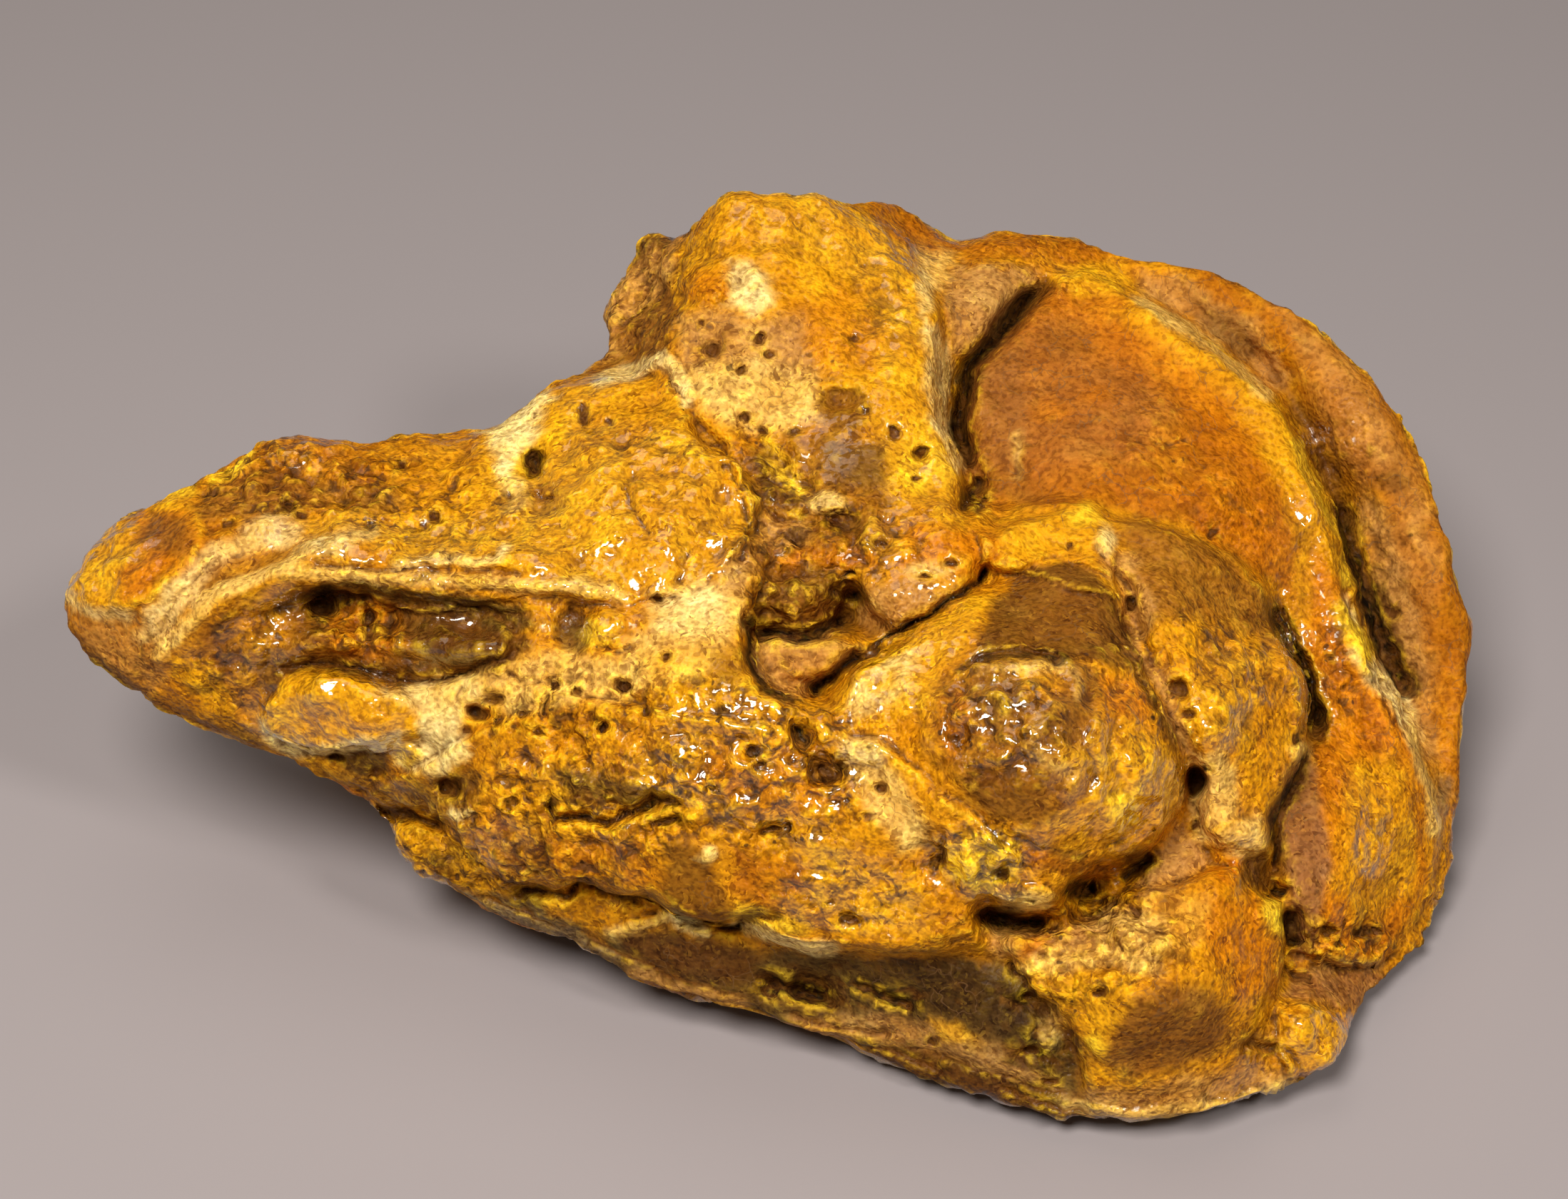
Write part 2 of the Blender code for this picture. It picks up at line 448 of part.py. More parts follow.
def rim_by_angle(angles):
    """The rim's distance from RIM_CENTRE and its height, at each angle round that centre."""
    rim = np.array(RIM, float)
    arms = rim[:, :2] - RIM_CENTRE
    turn = np.arctan2(arms[:, 1], arms[:, 0])
    order = np.argsort(turn)
    turn, arms, heights = turn[order], arms[order], rim[order, 2]
    after = np.searchsorted(turn, angles) % len(turn)
    before = (after - 1) % len(turn)
    a, b = arms[before], arms[after]
    ray = np.column_stack([np.cos(angles), np.sin(angles)])
    span = b - a
    crossing = a[:, 0] * span[:, 1] - a[:, 1] * span[:, 0]
    reach = crossing / (ray[:, 0] * span[:, 1] - ray[:, 1] * span[:, 0])
    met = ray * reach[:, None]
    t = np.clip(((met - a) * span).sum(1) / (span**2).sum(1), 0.0, 1.0)
    return reach, heights[before] * (1 - t) + heights[after] * t


def wobbled(uv):
    """The drawn places, shifted a little so that edges and cracks wander."""
    flat = np.column_stack([uv, np.zeros(len(uv))])
    aside = [fractal(flat, WOBBLE_SIZE, seed, 2) for seed in (1, 2)]
    return uv + WOBBLE * np.column_stack(aside)


def relief_height(uv, base_spots, slabs, grooves, ridges, pits):
    """One face's height over the sheet, away from the rim."""
    uv = wobbled(uv)
    height = spot_surface(base_spots)(uv)
    for slab in slabs:
        inside = inside_distance(uv, slab.edge)
        near = inside > -4.0 * slab.lip - 6.0
        top = spot_surface(slab.spots)(uv[near])
        drop = slab.lip * (1.0 - rounded(inside[near] / slab.lip))
        drop += slab.cliff * np.clip(-inside[near], 0.0, None)
        height[near] = np.maximum(height[near], top - drop)
    for groove in grooves:
        height -= groove_depth(uv, groove)
    for ridge in ridges:
        height += groove_depth(uv, ridge)
    for pit in pits:
        away = np.sqrt((uv[:, 0] - pit.u) ** 2 + (uv[:, 1] - pit.v) ** 2)
        height -= pit.depth * smooth(1.3 - away / pit.radius)
    return height


def scattered_pits():
    """Pits of mixed sizes over the hidden side."""
    random = np.random.default_rng(BACK_PITS_SEED)
    found = []
    for _ in range(BACK_PITS):
        radius = random.uniform(0.9, 2.4)
        depth = radius * random.uniform(0.7, 1.3)
        found.append(Pit(random.uniform(-45, 50), random.uniform(-10, 28), radius, depth))
    return found


def groove_depth(uv, groove):
    """How deep a groove is at each point: steep-sided, and shallower towards its ends."""
    distance, along = path_distance(uv, groove.path)
    ends = smooth(along / 0.12) * smooth((1.0 - along) / 0.12)
    return groove.depth * (0.35 + 0.65 * ends) * smooth(1.0 - distance / groove.width)


def lump_points():
    """A sphere's mesh, where its points go from the sheet's middle, and how far each is hidden."""
    sphere = bmesh.new()
    bmesh.ops.create_icosphere(sphere, subdivisions=SPHERE_SUBDIVISIONS, radius=1.0)
    mesh = bpy.data.meshes.new(NAME)
    sphere.to_mesh(mesh)
    sphere.free()
    ball = np.empty(len(mesh.vertices) * 3)
    mesh.vertices.foreach_get("co", ball)
    ball = ball.reshape(-1, 3)
    ball /= np.linalg.norm(ball, axis=1)[:, None]

    angles = np.arctan2(ball[:, 1], ball[:, 0])
    reach, rim_height = rim_by_angle(angles)
    spread = np.sqrt(ball[:, 0] ** 2 + ball[:, 1] ** 2)
    ray = np.column_stack([np.cos(angles), np.sin(angles)])
    uv = np.array(RIM_CENTRE) + (reach * spread)[:, None] * ray
    to_rim = path_distance(uv, RIM, closed=True)[0]
    to_rim[spread > 0.99999] = 0.0

    front = ball[:, 2] >= 0.0
    back = ~front
    height = np.empty(len(uv))
    height[front] = relief_height(
        uv[front], BASE_SPOTS, FRONT_SLABS, FRONT_GROOVES, FRONT_RIDGES, FRONT_PITS
    )
    height[back] = -relief_height(
        uv[back], BACK_SPOTS, BACK_SLABS, BACK_GROOVES, BACK_RIDGES, scattered_pits()
    )
    swell = rounded(to_rim / np.where(front, FRONT_SWELL, BACK_SWELL))
    height = rim_height + (height - rim_height) * swell
    return mesh, from_sheet(uv, height), np.where(front, 0.0, smooth(to_rim / 2.2))


def softened(mesh, points, hidden):
    """The hidden side eased towards its neighbours, so that the rim's kinks don't run on down it."""
    edges = np.empty(len(mesh.edges) * 2, np.int32)
    mesh.edges.foreach_get("vertices", edges)
    a, b = edges.reshape(-1, 2).T
    count = len(points)
    neighbours = np.bincount(a, minlength=count) + np.bincount(b, minlength=count)
    weight = (0.6 * hidden)[:, None]
    for _ in range(SOFTENINGS):
        around = np.column_stack([
            np.bincount(a, points[b, axis], count) + np.bincount(b, points[a, axis], count)
            for axis in range(3)
        ])
        points = points + weight * (around / neighbours[:, None] - points)
    return points


def normals_of(mesh, points):
    mesh.vertices.foreach_set("co", points.ravel())
    mesh.update()
    normals = np.empty(len(mesh.vertices) * 3)
    mesh.vertex_normals.foreach_get("vector", normals)
    return normals.reshape(-1, 3)


def roughened(mesh, points, hidden):
    """Lumps and broken layers on the hidden side, and grain all over."""
    normals = normals_of(mesh, points)
    nearest = cell_distance(points, LUMP_SIZE)
    layers = (points[:, 2] + 5.0 * fractal(points, 24.0, 3) + 0.3 * points[:, 0]) / LAYER_THICKNESS
    rise = layers - np.floor(layers)
    broken = smooth(1.6 * fractal(points, 19.0, 8) + 0.5)
    relief = hidden * LUMP_RELIEF * (0.9 - nearest * 1.8)
    relief += hidden * broken * LAYER_RELIEF * (smooth(rise * 2.6) - 0.5 * rise)
    for seed, (size, depth) in enumerate(GRAIN):
        relief += depth * (0.6 + 0.8 * hidden) * fractal(points, size, 4 + seed)
    return points + normals * relief[:, None]


def settled(points):
    """The underside lifted clear of the ground, apart from the sunk patch that it rests on."""
    x = (points[:, 0] - FOOT_CENTRE[0]) / FOOT_REACH[0]
    y = (points[:, 1] - FOOT_CENTRE[1]) / FOOT_REACH[1]
    away = np.sqrt(x**2 + y**2) + 0.12 * fractal(points * (1, 1, 0), 12.0, 9)
    lift = LIFT + SNOUT_LIFT * smooth((SNOUT_LIFT_FROM - points[:, 0]) / SNOUT_LIFT_RUN)
    ground = lift * smooth((away - 1.0) / FOOT_SPREAD) - SUNK
    below = np.clip(ground - points[:, 2], 0.0, None)
    points = points.copy()
    points[:, 2] += below * SETTLING
    return points


def material():
    amber = bpy.data.materials.new("amber_crust")
    amber.use_nodes = True
    shader = amber.node_tree.nodes["Principled BSDF"]
    shader.inputs["Base Color"].default_value = HONEY
    shader.inputs["Roughness"].default_value = 0.42
    shader.inputs["Metallic"].default_value = 0.0
    amber.diffuse_color = HONEY
    return amber


def build():
    for old in list(bpy.data.objects):
        bpy.data.objects.remove(old, do_unlink=True)
    collection = bpy.data.collections.new(COLLECTION)
    cutters = bpy.data.collections.new("cutters")
    for each in (collection, cutters):
        bpy.context.scene.collection.children.link(each)

    mesh, points, hidden = lump_points()
    points = softened(mesh, points, hidden)
    points = settled(SHEET_MIDDLE + roughened(mesh, points, hidden))
    mesh.vertices.foreach_set("co", (points * MM).ravel())
    mesh.update()
    lump = bpy.data.objects.new(NAME, mesh)
    collection.objects.link(lump)
    lump.data.materials.append(material())

    even = lump.modifiers.new("Even mesh", "REMESH")
    even.mode = "VOXEL"
    even.voxel_size = VOXEL * MM
    bpy.context.view_layer.update()
    quads = len(lump.evaluated_get(bpy.context.evaluated_depsgraph_get()).data.polygons)
    facets = lump.modifiers.new("Facets", "DECIMATE")
    facets.ratio = TRIANGLES / (2.0 * quads)

    side = 0.4
    bpy.ops.mesh.primitive_cube_add(size=side, location=(0, 0, -side / 2))
    ground = bpy.context.object
    ground.name = "ground_cutter"
    ground.hide_render = True
    ground.display_type = "WIRE"
    for home in list(ground.users_collection):
        home.objects.unlink(ground)
    cutters.objects.link(ground)
    flat = lump.modifiers.new("Resting face", "BOOLEAN")
    flat.operation = "DIFFERENCE"
    flat.object = ground


build()
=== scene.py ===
"""The looks of a lump of raw amber: a fine crust over the CAD solid, its colours, floor, light and camera.

Places on the lump's front are given on the sheet that the solid is laid out on: u to the right and v up its
slope, in millimetres.  A place keeps its (u, v) at every height over the sheet, as seen from the eye point.
"""

import math
from collections import namedtuple

import bpy
import numpy as np
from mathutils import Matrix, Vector, noise


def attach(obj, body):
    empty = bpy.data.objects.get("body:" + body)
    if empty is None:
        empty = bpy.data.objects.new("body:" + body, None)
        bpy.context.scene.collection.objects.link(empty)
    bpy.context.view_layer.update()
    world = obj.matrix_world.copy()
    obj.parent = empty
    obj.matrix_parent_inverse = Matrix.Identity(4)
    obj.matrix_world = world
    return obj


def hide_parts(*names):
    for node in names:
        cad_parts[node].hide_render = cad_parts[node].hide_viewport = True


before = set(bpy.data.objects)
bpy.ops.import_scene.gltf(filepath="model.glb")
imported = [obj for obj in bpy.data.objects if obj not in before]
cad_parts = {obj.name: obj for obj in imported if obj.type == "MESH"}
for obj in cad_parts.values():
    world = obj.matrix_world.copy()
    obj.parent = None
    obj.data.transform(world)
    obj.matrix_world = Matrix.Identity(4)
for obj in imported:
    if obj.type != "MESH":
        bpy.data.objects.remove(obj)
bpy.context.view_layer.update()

NODE = "raw_amber"
MM = 0.001

# The sheet, as in the solid's own source.
SHEET_MIDDLE = np.array([-0.06, -2.58, 28.0])
SHEET_TILT = math.radians(40)
EYE_DISTANCE = 300.0
ACROSS = np.array([1.0, 0.0, 0.0])
UP_SLOPE = np.array([0.0, math.sin(SHEET_TILT), math.cos(SHEET_TILT)])
TOWARDS_EYE = np.array([0.0, -math.cos(SHEET_TILT), math.sin(SHEET_TILT)])

# The camera looks at the sheet's middle from the eye point.
VIEW_WIDTH = 132.9  # of the sheet, across the picture
SENSOR_WIDTH = 36.0
NEAREST_SEEN = 0.01

# The fine mesh.
VOXEL = 0.36
FACET_SOFTENINGS = 12
MOST_TRIANGLES = 194000

# How far the ragged edges wander, in millimetres: of the relief, and of the washes of colour.
RELIEF_WANDER, RELIEF_WANDER_SIZE = 0.3, 1.7
COLOUR_WANDER, COLOUR_WANDER_SIZE = 0.7, 2.6

# How many rounds of easing tell a fine hollow, and how many a wide one.
FINE_HOLLOWS = 4
WIDE_HOLLOWS = 26

# How far a spot reaches, in its own radii.
SPOT_REACH = 1.5

# Colours as they look in plain light, from 0 to 255.
TONES = {
    "honey": (202, 132, 10),
    "gold": (222, 156, 16),
    "lemon": (246, 196, 40),
    "orange": (196, 112, 6),
    "amber": (172, 98, 8),
    "brown": (136, 84, 24),
    "umber": (92, 54, 18),
    "dark": (50, 30, 12),
    "black": (16, 9, 5),
    "cream": (228, 182, 92),
    "pale": (244, 212, 134),
    "tan": (180, 128, 64),
    "rose": (144, 92, 50),
    "grey": (112, 88, 60),
    "olive": (84, 61, 27),
    "ash": (142, 116, 80),
}

# The hidden side's colours come in drifts: tone, size, seed, lean towards covering more, strength.
HIDDEN_DRIFTS = [
    ("orange", 17.0, 51, 0.1, 0.8),
    ("amber", 12.0, 52, -0.1, 0.8),
    ("brown", 9.0, 53, -0.25, 0.55),
    ("cream", 10.0, 54, -0.3, 0.75),
    ("lemon", 7.0, 55, -0.4, 0.6),
    ("umber", 8.0, 56, -0.45, 0.5),
    ("gold", 11.0, 57, -0.3, 0.8),
]
UNDERSIDE_TOP = 9.0

# Painted shade in hollows and a painted highlight on crests: tone, rounds of easing, the hollowness it starts
# at, span to its full share, share.
HOLLOW_SHADE_AND_CREST_HIGHLIGHT = [
    ("lemon", FINE_HOLLOWS, -0.03, -0.16, 0.5),
    ("brown", FINE_HOLLOWS, 0.015, 0.08, 0.55),
    ("umber", FINE_HOLLOWS, 0.05, 0.15, 0.85),
    ("umber", WIDE_HOLLOWS, 0.25, 0.5, 0.5),
    ("black", WIDE_HOLLOWS, 0.8, 0.8, 0.9),
]

# The material's patterns: sizes in millimetres, and cells in a millimetre.
DRIFT_SIZE = 3.4
BLOTCH_SIZE = 1.9
SWELL_SIZE = 1.5
GRAIN_SIZE = 0.5
WANDERS_PER_MM, WANDER_REACH = 0.7, 1.8
CRUMBS_PER_MM = 0.85
SAND_GRAIN = 0.34
CRUST_PLATES_PER_MM = 0.42

# What a colour is multiplied by where it drifts, browns, is filmed over or catches the light on a grain.
DEEPER = (0.92, 0.86, 0.7, 1.0)
PALER = (1.12, 1.25, 1.4, 1.0)
BROWNER = (0.38, 0.28, 0.22, 1.0)
FILMED = (1.6, 1.75, 1.5, 1.0)
GRAIN_LIT = (1.3, 1.35, 1.5, 1.0)

# Colours of their own, as linear light.
FILM_GOLD = (0.82, 0.50, 0.035, 1.0)
# painted shade for the creases between the crumbs
CREASE_SHADE_BROWN = (0.09, 0.035, 0.008, 1.0)
CRACK_BROWN = (0.16, 0.08, 0.03, 1.0)
PORE_BROWN = (0.05, 0.02, 0.008, 1.0)

# Amber's own gloss and the light under its skin.
AMBER_SURFACE = {
    "IOR": 1.54,
    "Specular IOR Level": 0.08,
    "Subsurface Weight": 0.1,
    "Subsurface Radius": (1.0, 0.45, 0.12),
    "Subsurface Scale": 1.0 * MM,
    "Coat Roughness": 0.06,
    "Coat IOR": 1.6,
}

# The floor and the light, in metres and watts.
FLOOR_WIDTH = 4.0
FLOOR_SURFACE = {"Base Color": (0.32, 0.289, 0.305, 1.0), "Roughness": 0.55, "Specular IOR Level": 0.25}
LIT_PLACE = (0, 0, 0.02)
ROOM_COLOUR = (1.0, 0.9, 0.78, 1.0)
ROOM_STRENGTH = 0.10
Lamp = namedtuple("Lamp", "name place size watts colour")
LAMPS = [
    Lamp("overhead", (-0.10, 0.14, 0.54), 0.36, 0.52, (1.0, 0.94, 0.84)),
    Lamp("front", (-0.10, -0.27, 0.48), 0.20, 3.2, (1.0, 0.95, 0.86)),
    Lamp("sparkle", (0.24, -0.27, 0.42), 0.09, 1.0, (1.0, 0.95, 0.86)),
]

# What the tables hold.  Paths and outlines are of (u, v) places; all the measures are in millimetres.
Cut = namedtuple("Cut", "path width depth")
Rope = namedtuple("Rope", "path width height")
Step = namedtuple("Step", "path rise reach")
Edge = namedtuple("Edge", "outline rise reach")
Pit = namedtuple("Pit", "u v across up depth")
Nub = namedtuple("Nub", "u v across up height")
Wash = namedtuple("Wash", "tone edge feather strength")
Stroke = namedtuple("Stroke", "tone path width strength")
Dab = namedtuple("Dab", "tone u v across up strength")
Patch = namedtuple("Patch", "u v across up amount")

# -------------------------------------------------------------------------------- the front's relief

CUTS = [
    # the black crevice between the top plate and the dome
    Cut([(22.2, 26.5), (20.3, 25.3), (19.5, 24.3), (18.3, 22.5), (17.3, 21.4), (16, 20.3), (15.6, 19.5),
         (15.3, 17), (15.1, 16), (14.6, 14.5), (15.2, 13.3), (15.8, 11.5), (16.2, 10.4)], 1.0, 4.0),
    Cut([(16.8, 10.4), (16.4, 9.4), (15.6, 8.6), (15, 7.4)], 0.8, 3.0),
    Cut([(17, 8.8), (16.3, 7.2)], 0.5, 2.2),
    # the crack along the boss, and the hollow beside it
    Cut([(17.4, 3.4), (17.2, 2.5), (16.3, 1.3), (15, 0.3), (13.7, -0.3), (12, -1.5), (10.5, -2.2), (9, -3.6),
         (7.5, -4.6), (6, -5.6)], 0.55, 2.4),
    Cut([(6.6, -4.6), (5, -5.6), (3.6, -6.7), (2.2, -7.9)], 0.8, 3.4),
    Cut([(-3, -2.5), (-2, -2.9), (-1.2, -2.8), (0, -3.1), (1, -3.1), (2.4, -2.9), (3.8, -2.3), (5.4, -1.5)],
         0.75, 2.8),
    Cut([(-3.1, -1), (-3.1, -3), (-2.9, -5), (-2.3, -6.5), (-1.4, -7.8), (0, -8.7), (1.4, -8.6)], 0.7, 2.2),
    Cut([(4.2, 0.6), (5, 0.4), (6.2, 0.2)], 0.5, 1.4),
    Cut([(1.2, -10.6), (1.4, -11.6), (2.2, -12)], 1.0, 3.4),
    # the valley behind the dome's crest
    Cut([(38, 22.6), (42, 18.6), (44.6, 14.6), (46.4, 9.6), (47.8, 5.6)], 1.8, 0.9),
    Cut([(46.4, 9), (47.8, 5.4), (48.8, 1.4), (50.2, -2.6), (51.8, -6), (53, -8.8)], 1.0, 2.6),
    # right of the right lobe
    Cut([(41.3, -0.5), (41.7, -1.6), (42.4, -3), (43.2, -4.4), (44, -5.6), (44.6, -7.6), (44.8, -9.2), (45,
         -11)], 1.1, 4.4),
    Cut([(44.6, -12.4), (43.6, -15), (42.2, -17), (41.4, -18.6), (41.4, -20), (41.9, -21.5), (41.6, -23)],
         0.7, 2.0),
    Cut([(41.2, -24.5), (42.6, -25)], 0.9, 3.0),
    Cut([(42.9, -26.4), (43.1, -28.4), (43.4, -29.8)], 0.9, 3.0),
    Cut([(42.5, -31.2), (43.4, -31.9), (45, -32.1)], 0.5, 1.4),
    # over and under the boss
    Cut([(15.4, -5.9), (16.4, -5.1), (18, -4.6), (20, -4.4), (22, -4.7), (23.6, -5.3)], 0.5, 1.2),
    Cut([(16.6, -25.9), (17.4, -26.8), (18.8, -27.2), (20.4, -27.4), (22.4, -27.4)], 1.2, 3.4),
    Cut([(24, -24.5), (25, -24.7), (26.6, -24.3)], 1.1, 2.8),
    Cut([(28.6, -23.8), (29.6, -23), (30.6, -22.2), (31.4, -21.6)], 0.8, 2.6),
    Cut([(13.5, -20.3), (12.9, -21.8), (12.6, -23)], 0.4, 1.2),
    Cut([(26, -25.6), (28.2, -25.8), (30.2, -26.1)], 0.5, 1.2),
    Cut([(19.2, -30.6), (19.6, -31.6), (20.6, -32)], 0.5, 1.6),
    # the broken ledge along the front
    Cut([(-24, -24.6), (-22.5, -24.9), (-21, -24.6), (-19.5, -24.9), (-18.4, -25.1), (-17.6, -24.3), (-16.8,
         -24), (-15.6, -24.6), (-14, -25.5), (-12.8, -25.6), (-11.2, -25), (-10, -26), (-9, -26.7), (-7.6,
         -27.4), (-6, -27.4), (-4, -27.9), (-3.4, -27.1), (-2.2, -26.9), (-1, -27.1), (0.6, -26.8)], 0.6,
         1.6),
    Cut([(-20, -16.8), (-19.6, -17.8), (-19, -18.6), (-18, -18.5), (-17, -18.2), (-16.4, -18.6), (-15.6,
         -18.9), (-14.4, -18.9), (-13.6, -18.3), (-12.6, -17.9), (-11.4, -17.4), (-10.4, -16.9), (-9.4,
         -16.9), (-8.6, -17.4)], 0.6, 2.2),
    Cut([(-11.6, -19), (-10.4, -18.8), (-9, -18.7)], 0.5, 1.2),
    Cut([(-1.9, -20), (-1.2, -19.5), (0, -19.3), (0.6, -19.7)], 0.45, 1.2),
    # the slot along the snout
    Cut([(-43.6, -1.2), (-41.6, 0.2), (-39.2, 0.4), (-37, 0.2), (-34.4, 0.2)], 0.7, 1.6),
    Cut([(-33.6, 0.2), (-31, 0), (-28, -0.4), (-24.6, -1.4), (-21.8, -3)], 0.6, 1.0),
    Cut([(-43.4, -5.9), (-40, -5.4), (-36, -5.9), (-32, -6.9), (-29, -6.9), (-25.6, -5.6), (-22.6, -4.6)],
         0.5, 1.6),
    Cut([(-45, 3.2), (-42, 4.2), (-38.4, 2.9), (-34, 2.6), (-30, 2.5), (-25, 2.3), (-20.4, 2.2)], 0.5, 0.5),
    Cut([(-44, -10.8), (-42.4, -12.8), (-39, -13.4), (-36.6, -13), (-34.4, -12.4)], 0.5, 1.0),
    Cut([(-35, -17.9), (-32.6, -18.1), (-30.6, -18.7), (-28.6, -19.2)], 0.9, 2.4),
    # folds and cracks of the plates
    Cut([(-12.5, 11), (-13.3, 9.5), (-13, 8), (-12, 6.5), (-11, 5)], 0.4, 0.5),
    Cut([(-8, 4), (-8.6, 3), (-9, 1)], 0.5, 0.7),
    Cut([(-20.2, 12.6), (-21, 11.6), (-21.2, 10.6)], 0.6, 1.8),
    Cut([(-19.4, 8.6), (-21, 8.9)], 0.5, 0.9),
    Cut([(-13.8, 23), (-12.4, 24), (-11, 24.5), (-9.5, 26)], 0.4, 1.0),
    Cut([(-8.6, 25.4), (-9.4, 28), (-8.2, 30.6)], 0.5, 1.0),
    Cut([(-30, -6.8), (-27, -6.4), (-27.3, -8), (-27.8, -9.5)], 0.3, 0.5),
    Cut([(-23.5, -6), (-22.5, -6.8), (-20.5, -7), (-19, -6.4)], 0.3, 0.5),
    Cut([(-20, -8), (-20.4, -10)], 0.4, 1.4),
    Cut([(-16, -4), (-14, -4.7), (-12.8, -3.8)], 0.35, 0.8),
    Cut([(-4, 15.6), (-2.4, 13.6), (-0.6, 12), (1, 10.4), (3, 9)], 0.6, 0.8),
    Cut([(-2.2, 8), (-0.6, 7.2), (1.6, 6.6), (4.6, 7)], 0.5, 0.7),
    Cut([(31.3, 13.2), (34.5, 13.5)], 0.4, 0.5),
    Cut([(19.7, 14), (19.8, 10.5)], 0.4, 0.4),
    Cut([(28.6, -1.6), (29.8, -4), (31, -6.6), (32.6, -9.4), (33.8, -12.4)], 0.5, 1.0),
    Cut([(38.4, -37.4), (40.6, -38), (42, -38.2)], 0.6, 1.2),
    # long fibres of the underside's edge
    Cut([(-28, -24.6), (-22, -26.6), (-15, -29.4), (-9, -32.2), (-3, -33.6)], 0.3, 0.5),
    Cut([(-30, -23.4), (-24, -25.8), (-17, -28.2), (-12, -30.6)], 0.3, 0.5),
    Cut([(0, -35.2), (5, -36.4), (9, -36.9)], 0.35, 0.6),
    Cut([(12, -38.2), (18, -40.2), (24, -42)], 0.35, 0.5),
    Cut([(4, -37.2), (10, -38.6), (14, -40.2)], 0.4, 0.7),
    Cut([(18, -41.4), (23, -43), (28, -43.6)], 0.4, 0.6),
    Cut([(-2, -31.8), (1, -33.2), (4.4, -34.2)], 0.6, 2.0),
    Cut([(5.8, -32.6), (8, -33.4), (11, -34.6)], 0.5, 1.6),
]

ROPES = [
    # the rope-like crest over the slot in the snout, in strands
    Rope([(-53, -4.2), (-51.5, -3.1), (-50, -1.5), (-48.5, 0), (-47, 0.8), (-45, 1.3), (-43, 2), (-41, 3),
         (-39, 4.6), (-37, 5.4)], 0.9, 0.6),
    Rope([(-42, 2.4), (-40, 2.1), (-36, 1.7), (-33, 1.5), (-30, 1.4), (-26, 1.2), (-24, 0.6), (-20, 0.9),
         (-18, 1.1), (-16.5, 0.9), (-15, 0.5), (-13.5, -0.3)], 0.8, 0.6),
    Rope([(-40, 0.4), (-36, 0.9), (-32, 0.5), (-28, 0.2), (-24, -0.6), (-20, -0.5)], 0.5, 0.5),
    Rope([(-34, 3.3), (-30, 3.3), (-28, 3.7), (-26, 3.2), (-24, 3.5), (-22.5, 4)], 0.6, 0.6),
    Rope([(-46, 5.6), (-49.6, 3.6), (-51.8, 1.4), (-53.4, -1), (-54.2, -3)], 1.1, 0.6),
    # lips of hollows and lobes
    Rope([(-44.4, -10.2), (-43.2, -12.2), (-40, -13.2), (-37, -12.9), (-34, -12)], 0.6, 0.6),
    Rope([(-25, 14), (-22.5, 15.8), (-20.5, 17.6)], 0.8, 0.6),
    Rope([(-9.5, -26.4), (-8, -27), (-7, -27.9), (-6, -28.4)], 0.6, 0.8),
    Rope([(-14, -27.8), (-12.6, -27.6), (-11, -27.2), (-9.8, -26.8)], 0.5, 0.7),
    Rope([(-3.4, -27.9), (-1.6, -28.2), (0.4, -28.9), (3, -29.6), (6, -29.8)], 0.7, 0.8),
    Rope([(28.8, -2.4), (30.2, -4.4), (31.2, -6.6), (32.4, -8.8), (34, -11.4), (35, -13)], 0.7, 0.9),
    Rope([(4.4, -11.4), (4.7, -8.8), (6.2, -6.2), (9, -4.1), (12, -2.4), (14, -1)], 0.8, 0.5),
    Rope([(17, -6), (18.6, -5.8), (20.6, -5.9), (23.4, -5.4), (25, -6.6), (25.6, -8.4)], 0.8, 0.5),
    Rope([(22, -9), (21.2, -10.6), (21, -12.4), (22.2, -13.9), (24.3, -14.7)], 1.2, 0.6),
    Rope([(13, -7.4), (12.6, -9.8), (12.8, -12.2), (14.6, -14.4), (17, -16.6)], 1.0, 0.6),
    Rope([(26.8, -6.6), (27.2, -9.4), (26.4, -11.8), (27.4, -15.4), (25.6, -18)], 0.8, 0.7),
    Rope([(-33.4, -2), (-31, -2.4), (-28, -2.9), (-25, -3.6), (-22.6, -4)], 2.6, 1.9),
    Rope([(24, -22.6), (26, -22), (28.6, -21.6), (30.6, -20.8), (32.6, -19.2)], 0.8, 0.8),
    Rope([(19.6, -24.6), (21.6, -24.8), (23, -26), (21, -26.6), (19.4, -25.8)], 0.8, 0.9),
    Rope([(36, -20.8), (38.4, -19.4), (40.4, -19.6), (41, -21), (39, -21.8)], 0.9, 0.7),
    Rope([(12.2, 25.6), (12.4, 22.6), (12.2, 20), (12.6, 17), (13, 14.4), (14, 12)], 0.9, 0.3),
    Rope([(-11.6, 20.2), (-10, 20.5), (-8.6, 18.4), (-7.6, 16.6)], 0.7, 0.7),
    Rope([(-3, 28), (-2.6, 27), (-2, 26.3)], 0.8, 0.6),
    Rope([(-6, 1.4), (-4.6, 3), (-3, 5)], 0.8, 0.4),
    Rope([(24, -42.8), (28, -43.6), (33, -43.6), (38, -42.8), (42, -41.6)], 0.7, 0.7),
    Rope([(-27.6, -18.4), (-26.6, -17.8)], 0.5, 0.7),
]

